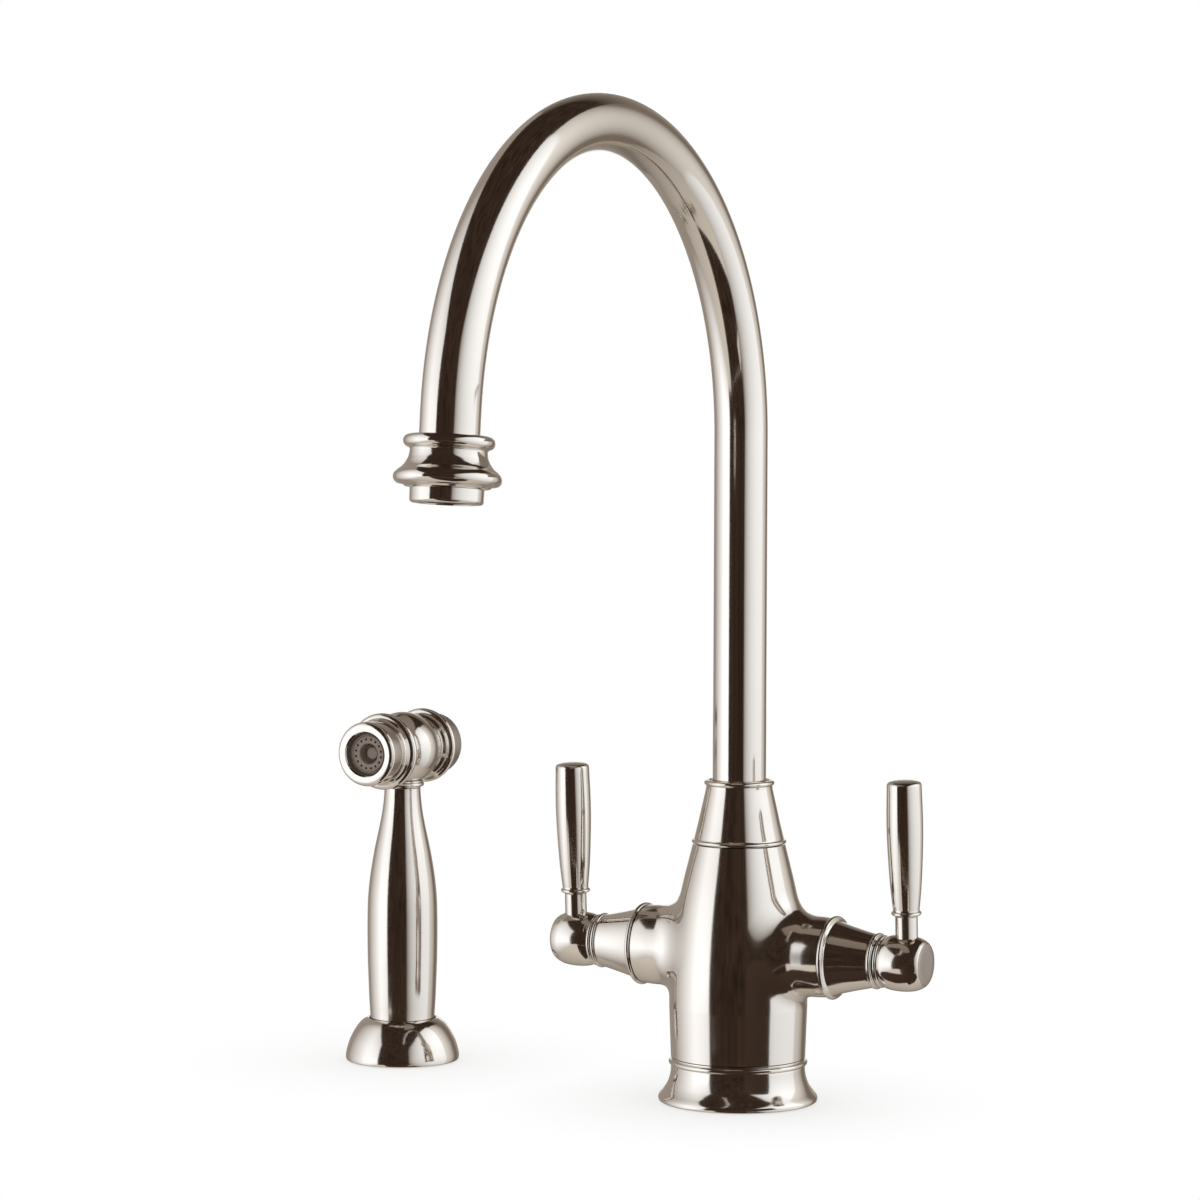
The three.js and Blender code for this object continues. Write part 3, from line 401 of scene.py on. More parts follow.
def carved(mesh, name, *tools):
    """The mesh with each tool cut from it or joined to it."""
    holder = held(mesh)
    helpers = []
    for operation, tool in tools:
        helper = held(tool)
        helper.hide_render = True
        helpers.append(helper)
        boolean = holder.modifiers.new("carve", "BOOLEAN")
        boolean.operation = operation
        boolean.solver = "EXACT"
        boolean.object = helper
    result = evaluated(holder, name)
    for helper in helpers:
        bpy.data.objects.remove(helper)
    result.set_sharp_from_angle(angle=CREASE)
    return result


# ---------- repeating forms

class Form(Tree):
    """A Geometry Nodes tree with named sizes, which ends in Realize Instances and Set Material."""

    KINDS = {float: "NodeSocketFloat", int: "NodeSocketInt", Vector: "NodeSocketVector"}

    def __init__(self, name, **sizes):
        group = bpy.data.node_groups.new(name, "GeometryNodeTree")
        super().__init__(group)
        group.interface.new_socket("Geometry", in_out="OUTPUT", socket_type="NodeSocketGeometry")
        group.interface.new_socket("Geometry", in_out="INPUT", socket_type="NodeSocketGeometry")
        self.sizes = {}
        for size, value in sizes.items():
            label = size.replace("_", " ")
            made = group.interface.new_socket(label, in_out="INPUT", socket_type=self.KINDS[type(value)])
            self.sizes[made.identifier] = value
        self.given = group.nodes.new("NodeGroupInput")
        self.outlet = group.nodes.new("NodeGroupOutput")

    def size(self, label):
        return Wire(self, self.given.outputs[label])

    def worked(self, mesh, name, geometry, material):
        """Ends the tree, runs it on the mesh and gives the plain mesh that comes out."""
        real = self.node("GeometryNodeRealizeInstances", None, {"Geometry": geometry})
        painted = self.node("GeometryNodeSetMaterial", None, {"Geometry": real, "Material": material})
        self.tree.links.new(painted.socket, self.outlet.inputs[0])
        holder = held(mesh)
        modifier = holder.modifiers.new(name, "NODES")
        modifier.node_group = self.tree
        for identifier, value in self.sizes.items():
            modifier[identifier] = value
        return evaluated(holder, name)


def on_circle(form, count, radius):
    """Points spread evenly round a circle, the first half a step round."""
    points = form.node("GeometryNodeMeshCircle", {"fill_type": "NONE"}, {"Vertices": count, "Radius": radius})
    turn = form.node("ShaderNodeCombineXYZ", None, {"Z": math.pi / count})
    return form.node("GeometryNodeTransform", None, {"Geometry": points, "Rotation": turn})


def swan_neck(foot, straight, bend, sweep, run, radius, bore):
    """The spout tube: a ring swept along a line that runs up, round the bend and on into the moulded ring."""
    steps, sides = 420, 72
    form = Form(
        "swan neck", foot=foot, straight=straight, bend=bend, sweep=sweep, run=run, radius=radius, bore=bore,
    )
    first, top, curve = form.size("foot"), form.size("straight"), form.size("bend")
    angle, last = form.size("sweep"), form.size("run")
    rise = top - first
    whole = rise + curve * angle + last
    line = form.node("GeometryNodeCurvePrimitiveLine", None, {"End": (0.0, 0.0, 1.0)})
    fine = form.node("GeometryNodeResampleCurve", {"mode": "COUNT"}, {"Curve": line, "Count": steps + 1})
    gone = form.node("GeometryNodeSplineParameter") * whole
    turn = (gone - rise).maths("MAXIMUM", gone - rise, 0.0)
    turn = turn.maths("MINIMUM", turn / curve, angle)
    past = gone.maths("MAXIMUM", gone - rise - curve * angle, 0.0)
    sine, cosine = turn.maths("SINE", turn), turn.maths("COSINE", turn)
    along = curve * (cosine - 1.0) - past * sine
    height = first + gone.maths("MINIMUM", gone, rise) + curve * sine + past * cosine
    spot = form.node("ShaderNodeCombineXYZ", None, {"Y": along, "Z": height})
    path = form.node("GeometryNodeSetPosition", None, {"Geometry": fine, "Position": spot})
    walls = []
    for size, flip in (("radius", False), ("bore", True)):
        sockets = {"Resolution": sides, "Radius": form.size(size)}
        ring = form.node("GeometryNodeCurvePrimitiveCircle", {"mode": "RADIUS"}, sockets)
        wall = form.node("GeometryNodeCurveToMesh", None, {"Curve": path, "Profile Curve": ring})
        walls.append(form.node("GeometryNodeFlipFaces", None, {"Mesh": wall}) if flip else wall)
    both = form.node("GeometryNodeJoinGeometry", None, {0: walls})
    mesh = form.worked(bpy.data.meshes.new("line"), "swan_neck", both, NICKEL)
    bm = bmesh.new()
    bm.from_mesh(mesh)
    ends = [e for e in bm.edges if e.is_boundary]
    for in_body in (True, False):
        rims = [e for e in ends if (e.verts[0].co.y > -bend) == in_body]
        bmesh.ops.bridge_loops(bm, edges=rims)
    return mesh_of(bm, "swan_neck")


def drill(form, sides):
    sockets = {"Vertices": sides, "Radius": form.size("radius"), "Depth": form.size("depth")}
    return form.node("GeometryNodeMeshCylinder", {"fill_type": "NGON"}, sockets)


def pierced(form, drills, mesh, name, material, place):
    """The form's plate with every drill cut from it, set in its place."""
    solid = form.node("GeometryNodeRealizeInstances", None, {"Geometry": drills})
    plate = Wire(form, form.given.outputs["Geometry"])
    settings = {"operation": "DIFFERENCE", "solver": "EXACT"}
    holed = form.node("GeometryNodeMeshBoolean", settings, {"Mesh 1": plate, "Mesh 2": [solid]})
    result = form.worked(mesh, name, holed, material)
    result.transform(place)
    return smoothed(result)


def drilled(mesh, name, material, count, circle, radius, depth, base, place):
    """A plate with a ring of fine holes through it."""
    form = Form(name, count=count, circle=circle, radius=radius, depth=depth, base=base)
    points = on_circle(form, form.size("count"), form.size("circle"))
    drills = form.node("GeometryNodeInstanceOnPoints", None, {"Points": points, "Instance": drill(form, 16)})
    lift = form.node("ShaderNodeCombineXYZ", None, {"Z": form.size("base")})
    lifted = form.node("GeometryNodeTransform", None, {"Geometry": drills, "Translation": lift})
    return pierced(form, lifted, mesh, name, material, place)


def honeycomb(mesh, name, material, rows, radius, pitch, depth, limit, base, place):
    """A disc pierced by six-sided cells, set close in rows."""
    form = Form(name, rows=rows, radius=radius, pitch=pitch, depth=depth, limit=limit, base=base)
    step, count = form.size("pitch"), form.size("rows")
    number = form.node("GeometryNodeInputIndex")
    row = number.maths("FLOOR", number / count)
    column = number - row * count
    middle = (count - 1) * 0.5
    shift = row.maths("MODULO", row, 2.0) * 0.5
    x = (column - middle + shift) * step
    y = (row - middle) * step * math.sin(math.pi / 3)
    grid = form.node("GeometryNodeMeshGrid", None, {"Vertices X": count, "Vertices Y": count})
    spot = form.node("ShaderNodeCombineXYZ", None, {"X": x, "Y": y, "Z": form.size("base")})
    points = form.node("GeometryNodeSetPosition", None, {"Geometry": grid, "Position": spot})
    away = number.maths("SQRT", x * x + y * y)
    inside = away.maths("LESS_THAN", away, form.size("limit"))
    sockets = {"Geometry": drill(form, 6), "Rotation": (0.0, 0.0, math.pi / 6)}
    pointed = form.node("GeometryNodeTransform", None, sockets)
    sockets = {"Points": points, "Selection": inside, "Instance": pointed}
    drills = form.node("GeometryNodeInstanceOnPoints", None, sockets)
    return pierced(form, drills, mesh, name, material, place)


def coil(name, material, turns, radius, length, wire, place):
    """A wound spring."""
    form = Form(name, turns=turns, radius=radius, length=length, wire=wire)
    spiral = form.node(
        "GeometryNodeCurveSpiral", None,
        {"Resolution": 40, "Rotations": form.size("turns"), "Start Radius": form.size("radius"),
         "End Radius": form.size("radius"), "Height": form.size("length")},
    )
    sockets = {"Resolution": 12, "Radius": form.size("wire")}
    section = form.node("GeometryNodeCurvePrimitiveCircle", {"mode": "RADIUS"}, sockets)
    sockets = {"Curve": spiral, "Profile Curve": section, "Fill Caps": True}
    wound = form.node("GeometryNodeCurveToMesh", None, sockets)
    result = form.worked(bpy.data.meshes.new("line"), name, wound, material)
    result.transform(place)
    bm = bmesh.new()
    bm.from_mesh(result)
    return mesh_of(bm, name)


# ---------- foot, body and neck

def foot_ring():
    outside = [
        (29.35, 0.0), (29.85, 0.3),
        *flowing([
            (30.0, 0.8), (29.98, 1.4), (29.7, 2.05), (29.15, 2.8), (27.9, 4.3), (26.75, 6.1), (25.9, 8.3),
            (25.4, 10.5), (25.2, 12.7),
        ], 6),
        (25.2, 13.45), *bead(26.15, 14.75, 1.05), (25.2, 16.0), (25.2, 16.5),
    ]
    inside = [(27.5, 0.0), (25.9, 2.1), (20.3, 6.1), (20.3, 16.5)]
    return turned("foot_ring", outside, FINE, inside=inside, ease=0.2)


finished("foot_ring", foot_ring(), NICKEL, "base_flange")
finished(
    "foot_gasket",
    turned("foot_gasket", rod(24.05, 0.0, 1.8), PLAIN, inside=rod(20.35, 0.0, 1.8)),
    RUBBER, "base_gasket",
)

ARM_RADIUS, ARM_END, SPIGOT = 15.1, 38.4, 20.0


def smooth_min(a, b, blend):
    """The lesser of two distances, with a fillet where they are close."""
    near = max(blend - abs(a - b), 0.0) / blend
    return min(a, b) - near * near * blend / 4


def body_radius(z):
    """A cone above, a cylinder below that draws in a little towards its foot, and a soft turn between them."""
    draw = max(0.0, (36.0 - z) / 19.5)
    return smooth_min(17.35 + 0.25 * (BODY_TOP - z), 26.0 - 0.7 * draw, 6.0)


def arm_radius(x):
    """A straight arm that draws in over its last 6 mm."""
    return ARM_RADIUS - 0.35 * min(max((abs(x) - 32.4) / 6.0, 0.0), 1.0) ** 2


def casting_field(p):
    """Less than nothing inside the cast body and more outside it."""
    rise = p.z - VALVE_HEIGHT
    reach = math.hypot(p.y, rise)
    up = rise / max(reach, 1e-6)
    blend = 7.0 + 3.0 * max(up, 0.0) ** 2 - max(-up, 0.0) ** 2
    return smooth_min(math.hypot(p.x, p.y) - body_radius(p.z), reach - arm_radius(p.x), blend)


def slope_at(p):
    """The way in which the field rises fastest."""
    step = 0.02
    ways = (Vector((step, 0, 0)), Vector((0, step, 0)), Vector((0, 0, step)))
    return Vector([(casting_field(p + w) - casting_field(p - w)) / (2 * step) for w in ways])


def settled(p):
    """The point moved on to the casting's surface."""
    for _ in range(8):
        slope = slope_at(p)
        p = p - slope * (casting_field(p) / slope.length_squared)
    return p


def walls(bm, start, *others):
    """Walls from one closed loop to the next."""
    for after in others:
        for k in range(len(start)):
            n = (k + 1) % len(start)
            bm.faces.new([start[k], start[n], after[n], after[k]])
        start = after


def cast_body():
    """The body with its arms. Lines run from the end of each arm over the fillet and out over the body."""
    across, beside = 56, 26  # lines to the border over or under an arm, and to the one on each side
    over_arm, over_body = 18, 40  # steps of a line along the arm, and over the body
    low, high = VALVE_HEIGHT - ARM_RADIUS - 6.3, VALVE_HEIGHT + ARM_RADIUS + 10.3
    around = 2 * (across + beside)
    phis = [2 * math.pi * (j - across / 2) / around for j in range(around)]
    turns = [-math.pi / 2 + math.pi * i / across for i in range(2 * across)]
    bm = bmesh.new()

    def border(j):
        """Where a line ends on the body: the angle round it and the height."""
        quarter = math.pi / 2
        if j <= across:
            return -quarter + math.pi * j / across, high
        if j <= across + beside:
            return quarter, high + (low - high) * (j - across) / beside
        if j <= 2 * across + beside:
            return quarter - math.pi * (j - across - beside) / across, low
        return -quarter, low + (high - low) * (j - 2 * across - beside) / beside

    def line(j):
        y, z = ARM_RADIUS * math.sin(phis[j]), VALVE_HEIGHT + ARM_RADIUS * math.cos(phis[j])
        meets = math.sqrt(body_radius(z) ** 2 - y * y)
        start = math.atan2(y, meets)
        theta, height = border(j)
        shares = [0.96 * (i / over_arm) ** 0.8 for i in range(over_arm + 1)]
        points = [Vector((ARM_END + (meets - ARM_END) * share, y, z)) for share in shares]
        for i in range(over_body + 1):
            share = (i / over_body) ** 1.5
            t, h = start + (theta - start) * share, z + (height - z) * share
            points.append(Vector((body_radius(h) * math.cos(t), body_radius(h) * math.sin(t), h)))
        end = arm_radius(ARM_END) / ARM_RADIUS
        first = Vector((ARM_END, y * end, VALVE_HEIGHT + (z - VALVE_HEIGHT) * end))
        return [first, *[settled(p) for p in points[1:-1]], points[-1]]

    def loop(radius, z):
        return [bm.verts.new((radius * math.cos(t), radius * math.sin(t), z)) for t in turns]

    surface = [line(j) for j in range(around)]
    for side in (1, -1):
        lines = [[bm.verts.new((side * p.x, p.y, p.z)) for p in points] for points in surface]
        for one, two in zip(lines, lines[1:] + lines[:1]):
            for k in range(1, len(one)):
                bm.faces.new([one[k - 1], two[k - 1], two[k], one[k]])

        def bore(x, radius):
            spots = [(radius * math.sin(p), VALVE_HEIGHT + radius * math.cos(p)) for p in phis]
            return [bm.verts.new((side * x, y, z)) for y, z in spots]

        mouth, floor = bore(ARM_END, 9.45), bore(20.1, 9.45)
        walls(bm, [points[0] for points in lines], mouth, floor)
        bm.faces.new(floor)

    skirt = [loop(body_radius(z), z) for z in [BODY_FOOT + (low - BODY_FOOT) * i / 14 for i in range(15)]]
    neck = [loop(body_radius(z), z) for z in [high + (BODY_TOP - high) * i / 12 for i in range(13)]]
    spigot = loop(SPIGOT, 0.0)
    walls(bm, spigot, loop(SPIGOT, BODY_FOOT), *skirt)
    steps = [(14.6, BODY_TOP), (14.6, 89.7), (12.6, 89.7), (12.6, 76.4), (7.85, 76.4), (7.85, 60.8)]
    chamber = [loop(radius, z) for radius, z in steps]
    walls(bm, *neck, *chamber)
    bm.faces.new(chamber[-1])

    # The underside, with its sockets for the two inlets, the spray's outlet and the stud.
    rims = list(spigot)
    sockets = ((13.6, 0, 5, 13, 3), (-13.6, 0, 5, 13, 3), (0, 11.5, 5, 13, 2), (0, -12, 3.3, 12, 0))
    spots = [2 * math.pi * k / 48 for k in range(48)]
    for x, y, radius, depth, narrow in sockets:
        def socket(size, z):
            return [bm.verts.new((x + size * math.cos(t), y + size * math.sin(t), z)) for t in spots]

        rim, end = socket(radius, 0.0), socket(radius, depth)
        walls(bm, rim, end)
        if narrow:
            throat, top = socket(narrow, depth), socket(narrow, depth + 18)
            walls(bm, end, throat, top)
            end = top
        bm.faces.new(end)
        rims += rim
    bm.edges.ensure_lookup_table()
    kept = set(rims)
    edges = [e for e in bm.edges if e.verts[0] in kept and e.verts[1] in kept]
    bmesh.ops.triangle_fill(bm, edges=edges, use_beauty=True)
    bmesh.ops.transform(bm, matrix=Matrix.Scale(MM, 4), verts=bm.verts)
    mesh = mesh_of(bm, "cast_body")

    # The outer surface is shaded by the formula's own slope, so that what it mirrors runs evenly.
    on_it = {}
    for v in mesh.vertices:
        p = v.co * 1000
        if p.z > BODY_FOOT - 0.1 and abs(casting_field(p)) < 0.02:
            on_it[v.index] = slope_at(p).normalized()
    normals = [Vector(n.vector) for n in mesh.corner_normals]
    for face in mesh.polygons:
        if all(v in on_it for v in face.vertices):
            for corner in face.loop_indices:
                normals[corner] = on_it[mesh.loops[corner].vertex_index]
    mesh.normals_split_custom_set(normals)
    return mesh


finished("cast_body", cast_body(), NICKEL, "body_casting")


def neck_nut():
    outside = [
        (14.3, 90.0), (14.3, 97.3), (17.0, 97.3), *bead(17.8, 98.1, 0.8), (16.95, 98.95), (16.75, 99.3),
        *flowing([
            (16.7, 99.5), (16.26, 101.4), (15.18, 105.9), (14.21, 110.4), (13.16, 115.0), (12.45, 118.3),
        ], 4),
        (12.4, 119.1), *bead(13.2, 120.15, 0.95), (12.3, 121.15),
    ]
    inside = [
        (12.8, 90.0), (12.8, 92.2), (10.5, 92.2), (10.5, 112.7), (11.25, 112.7), (11.25, 120.6), (11.5, 121.15),
    ]
    return turned("neck_nut", outside, FINE, inside=inside, ease=0.2)


finished("neck_nut", neck_nut(), NICKEL, "neck_cone")
finished(
    "neck_bearing",
    turned("neck_bearing", rod(11.0, 113.0, 120.0), PLAIN, inside=rod(10.2, 113.0, 120.0), ease=0.15),
    BEARING, "neck_bush",
)

# ---------- spout and outlet

BEND, STRAIGHT, SWEEP = 110.2, 250.2, math.radians(174.5)
finished(
    "swan_neck",
    swan_neck(90.0 * MM, STRAIGHT * MM, BEND * MM, SWEEP, 15.6 * MM, 10.0 * MM, 8.8 * MM),
    NICKEL, "spout_tube",
)
BEND_END = Vector((0.0, -BEND * (1 - math.cos(SWEEP)), STRAIGHT + BEND * math.sin(SWEEP))) * MM
OUTLET = Matrix.Translation(BEND_END) @ Matrix.Rotation(SWEEP, 4, "X")


def outlet_ring():
    outside = [
        (10.6, 7.75), *arc(12.95, 9.85, 2.12, -112, 82, 18), (13.0, 12.15), (12.75, 12.6),
        *flowing([
            (12.72, 12.9), (12.88, 14.0), (13.11, 15.0), (13.55, 16.0), (14.1, 17.0), (14.86, 18.0),
            (15.85, 18.85),
        ], 4),
        (16.3, 19.15), *arc(15.5, 21.65, 2.32, -52, 84, 16), (14.6, 24.1), (13.9, 24.7),
    ]
    inside = [(10.3, 7.9), (10.3, 15.6), (11.3, 15.9), (11.3, 24.7)]
    return turned("outlet_ring", outside, FINE, OUTLET, inside, 0.15)


def outlet_sleeve():
    outside = [
        (11.0, 16.2), (11.0, 25.0), (12.2, 25.0), (12.15, 28.4), *arc(10.95, 28.75, 1.2, 0, 84, 12),
    ]
    inside = [(9.6, 16.2), (9.6, 28.5), (9.05, 28.5), (9.05, 29.6), (9.3, 30.0)]
    return turned("outlet_sleeve", outside, FINE, OUTLET, inside, 0.15)


finished("outlet_ring", outlet_ring(), NICKEL, "nozzle_collar")
finished("outlet_sleeve", outlet_sleeve(), NICKEL, "aerator_housing")
finished(
    "aerator_honeycomb",
    honeycomb(
        turned("disc", rod(9.3, 19.7, 28.2), PLAIN), "aerator_honeycomb", SPRAY_PLASTIC,
        13, 0.72 * MM, 1.5 * MM, 20 * MM, 8.0 * MM, 24 * MM, OUTLET,
    ),
    SPRAY_PLASTIC, "aerator_insert",
)

# ---------- valves and levers

AXIS = Matrix.Translation((0, 0, VALVE_HEIGHT * MM))
LEAN = AXIS @ Matrix.Rotation(math.radians(3.5), 4, "X")  # the levers lean a little towards the spout
HUB_REACH = 68.75


def sideways(side):
    return Matrix.Rotation(side * math.pi / 2, 4, "Y")


def upright(side):
    """Where the lever's own line starts, in the middle of its ball."""
    return LEAN @ Matrix.Translation((side * HUB_REACH * MM, 0, 0))


def valve_cover(side):
    outside = [
        (14.9, 38.7), *bead(15.6, 39.62, 0.92), (14.35, 40.65), (13.75, 41.0),
        *flowing([(13.6, 41.3), (12.85, 43.9), (12.05, 46.9), (11.3, 50.0), (10.6, 53.0), (9.98, 55.9)], 4),
        (9.85, 56.2), *bead(10.45, 57.15, 0.8), (9.7, 58.0), (9.3, 58.3),
    ]
    inside = [(13.2, 38.7), (12.5, 41.5), (10.0, 49.0), (6.9, 50.0), (6.9, 55.0), (4.5, 55.3), (4.5, 58.3)]
    return turned("valve_cover", outside, FINE, AXIS @ sideways(side), inside, 0.15)


def lever_ball(side):
    outside = [
        (8.6, 58.5), *bead(9.75, 59.3, 0.75), (9.2, 60.15),
        *flowing([
            (9.3, 60.45), (9.8, 61.6), (10.2, 63.2), (10.42, 65.2), (10.5, 67.4), (10.42, 69.5), (10.2, 71.4),
            (9.9, 72.8), (9.4, 74.1), (8.85, 75.15), (8.3, 75.9), (7.9, 76.25),
        ], 8),
        (7.8, 76.3), (7.8, 75.0),
    ]
    place = LEAN @ sideways(side)
    ball = turned("ball", outside, FINE, place, ease=0.12)
    tools = [
        turned("spot", rod(4.22, 9.0, 13.0), 64, upright(side)),
        turned("bore", rod(3.05, 5.2, 13.0), 64, upright(side)),
        turned("back", rod(4.15, 57.0, 66.6), 64, place),
        turned("pocket", rod(4.3, 70.05, 76.0), 64, place),
    ]
    return carved(ball, "lever_ball", *[("DIFFERENCE", tool) for tool in tools])


def end_disc(side):
    outside = [(4.0, 72.8), (4.0, 75.0), (7.76, 75.0), *arc(7.5, 76.2, 0.26, 0, 80, 6), (5.0, 76.46)]
    return turned("end_disc", outside, PLAIN, LEAN @ sideways(side), ease=0.1)


def lever_shank(side):
    outside = [(2.8, 5.5), (2.8, 9.3), (4.15, 9.3), (4.15, 17.7), (2.55, 17.7), (2.55, 26.7)]
    return turned("lever_shank", outside, PLAIN, upright(side), ease=0.15)


def lever_handle(side):
    outside = [
        (4.75, 18.0), *bead(5.58, 18.85, 0.75), (4.95, 19.75),
        *flowing([
            (4.9, 20.3), (5.1, 21.9), (5.38, 24.6), (5.78, 28.9), (6.08, 33.5), (6.34, 38.2), (6.54, 42.9),
            (6.68, 47.5), (6.72, 52.2), (6.67, 56.8), (6.54, 61.5), (6.46, 64.0),
        ], 6),
        *arc(5.0, 66.35, 1.42, 6, 80, 14), *flowing([(4.6, 67.92), (3.4, 68.12), (1.8, 68.27)], 4),
    ]
    grip = turned("grip", [*outside, (0.0, 68.3)], 160, upright(side), ease=0.15)
    bore = turned("bore", rod(2.85, 15.0, 27.0), 48, upright(side))
    return carved(grip, "lever_handle", ("DIFFERENCE", bore))


for label, side in (("hot", -1), ("cold", 1)):
    finished(f"{label}_valve_cover", valve_cover(side), NICKEL, f"{label}_valve_shroud")
    finished(f"{label}_lever_ball", lever_ball(side), NICKEL, f"{label}_lever_hub")
    finished(f"{label}_end_disc", end_disc(side), SATIN_HUB, f"{label}_hub_cap")
    finished(f"{label}_lever_shank", lever_shank(side), NICKEL, f"{label}_lever_stem")
    finished(f"{label}_lever_handle", lever_handle(side), NICKEL, f"{label}_lever_grip")

# ---------- side spray: holder and handle

SPRAY = Matrix.Translation((SPRAY_X * MM, SPRAY_Y * MM, 0))


def spray_rest():
    outside = [
        (22.05, 0.0), (22.4, 0.3),
        *flowing([
            (22.55, 0.9), (22.55, 1.9), (22.35, 3.3), (21.9, 5.0), (21.3, 6.9), (20.55, 8.8), (19.65, 10.6),
            (18.7, 12.2), (17.65, 13.7), (16.55, 14.95), (15.4, 15.9), (14.3, 16.5), (13.5, 16.75),
        ], 6),
    ]
    inside = [
        (19.3, 0.0), (19.3, 1.5), (14.3, 1.5), (14.3, 0.0), (12.05, 0.0), (12.05, 11.0), (13.2, 11.0),
        (13.2, 16.6),
    ]
    return turned("spray_rest", outside, FINE, SPRAY, inside, 0.2)


def rest_bush():
    outside = [(11.75, 2.2), (11.75, 11.3), (13.0, 11.3), (13.0, 12.5)]
    inside = [(10.85, 2.2), (10.85, 12.2), (11.1, 12.5)]
    return turned("rest_bush", outside, PLAIN, SPRAY, inside, 0.15)


def handle():
    outside = [
        (10.6, 4.0), (10.6, 12.8), (12.4, 12.8), (12.62, 14.0),
        *flowing([
            (12.75, 16.5), (12.9, 19.4), (13.1, 22.5), (13.31, 26.6), (13.49, 31.5), (13.67, 36.3),
            (13.82, 41.5), (13.93, 50.7), (13.87, 59.0), (13.66, 65.0), (13.23, 70.0), (12.63, 74.8),
            (11.87, 79.6), (11.02, 84.4), (10.0, 89.2), (8.98, 94.0), (8.08, 98.8), (7.5, 103.2),
            (7.22, 106.6), (7.15, 108.6),
        ], 6),
        (5.6, 108.6), (5.6, 113.8),
    ]
    inside = [
        (8.3, 4.0), (8.3, 18.3), (4.1, 18.3), (4.1, 20.3), (10.4, 24.5), (10.4, 66.0), (4.25, 92.0),
        (4.25, 113.8),
    ]
    return turned("handle", outside, FINE, SPRAY, inside, 0.15)


def handle_ring():
    outside = [(7.4, 108.8), (7.5, 109.2), *bead(8.6, 110.1, 0.8), (8.1, 111.0), (8.1, 111.6)]
    return turned("handle_ring", outside, FINE, SPRAY, rod(5.95, 108.8, 111.6), 0.12)


def hose_swivel():
    outside = [(6.0, 1.0), (6.0, 3.0), (8.0, 4.0), (8.0, 16.2)]
    return turned("hose_swivel", outside, PLAIN, SPRAY, rod(3.1, 1.0, 16.2), 0.2)


finished("spray_rest", spray_rest(), NICKEL, "spray_holder")
finished(
    "rest_gasket",
    turned("rest_gasket", rod(19.0, 0.0, 1.2), PLAIN, SPRAY, rod(14.65, 0.0, 1.2)),
    RUBBER, "holder_gasket",
)
finished("rest_bush", rest_bush(), BEARING, "holder_bush")
finished("handle", handle(), NICKEL, "spray_handle")
finished("handle_ring", handle_ring(), NICKEL, "handle_collar")
finished("hose_swivel", hose_swivel(), BRASS, "hose_connector")

# ---------- side spray: head

# The head's own height runs forward from the middle of its ball.
HEAD = SPRAY @ Matrix.Translation((0, 0, HEAD_HEIGHT * MM)) @ Matrix.Rotation(math.pi / 2, 4, "X")
BALL, NECK, NECK_REAR, NECK_FRONT = 14.6, 11.2, -12.1, 12.9


def head_ball():
    edge = math.degrees(math.acos(NECK / BALL))
    fine_lines = []
    for k in range(3):
        h = -11.6 + k * 0.8
        fine_lines += [(10.9, h), *arc(10.9, h + 0.35, 0.28, -80, 80, 6), (10.9, h + 0.7)]
    outside = [
        (10.6, NECK_REAR), *fine_lines, *arc(0, 0, BALL, -edge + 3, edge - 2, 72), (NECK, 10.2),
        (NECK, NECK_FRONT),
    ]
    ball = turned("ball", outside, FINE, HEAD, ease=0.1)
    boss = turned("boss", [(7.7, 111.8), (7.8, 112.6), (8.3, 113.6), (8.3, 118.0)], PLAIN, SPRAY, ease=0.15)
    throat = turned("throat", rod(9.7, 5.0, 14.0), 96, HEAD)
    riser = turned("riser", rod(5.95, 108.0, 114.1), 64, SPRAY)
    stem = turned("stem", rod(2.3, -14.0, 6.0), 48, HEAD)
    tools = [("UNION", boss), ("DIFFERENCE", throat), ("DIFFERENCE", riser), ("DIFFERENCE", stem)]
    return carved(ball, "head_ball", *tools)


def barrel():
    outside = [
        (9.4, 8.9), (9.4, 13.2), (11.9, 13.2), *arc(13.3, 15.15, 1.85, -100, 88, 16), (13.1, 17.35),
        (12.6, 17.75),
        *flowing([(12.3, 18.3), (12.2, 18.9), (12.45, 19.6), (12.6, 20.4)], 4),
        (12.6, 26.8), *arc(10.85, 27.5, 1.8, 0, 86, 20), (10.2, 29.3), (9.0, 29.28),
    ]
    inside = [(7.8, 8.9), (7.8, 13.2), (8.6, 14.2), (8.6, 28.9)]
    return turned("barrel", outside, FINE, HEAD, inside, 0.15)


def hole_plate():
    outside = [(8.3, 24.4), (8.4, 28.8), (8.05, 28.8), (7.75, 26.3), (7.2, 26.2), (7.0, 26.5)]
    inside = [(4.05, 24.4), (4.05, 26.2), (4.3, 26.5)]
    return drilled(
        turned("disc", outside, PLAIN, inside=inside, ease=0.12), "hole_plate", SPRAY_PLASTIC,
        16, 5.75 * MM, 0.5 * MM, 6 * MM, 26 * MM, HEAD,
    )


def jet_plug():
    outside = [
        (6.2, 20.6), (6.2, 21.6), (4.85, 21.8), (4.85, 24.1), (4.4, 24.1), (4.1, 21.2), (2.75, 21.2),
        (2.5, 23.3), (2.2, 23.6),
    ]
    return turned("jet_plug", outside, PLAIN, HEAD, ease=0.15)


def guide_ring():
    outside = [
        (13.0, -18.0), (13.4, -17.95), *arc(13.2, -16.35, 1.6, -80, 88, 14), (13.0, -14.6), (12.6, -14.1),
        (12.55, -13.1), (11.6, -12.4),
    ]
    inside = [(12.45, -18.0), (12.45, -13.7), (2.5, -13.7), (2.5, -12.4)]
    return turned("guide_ring", outside, FINE, HEAD, inside, 0.15)


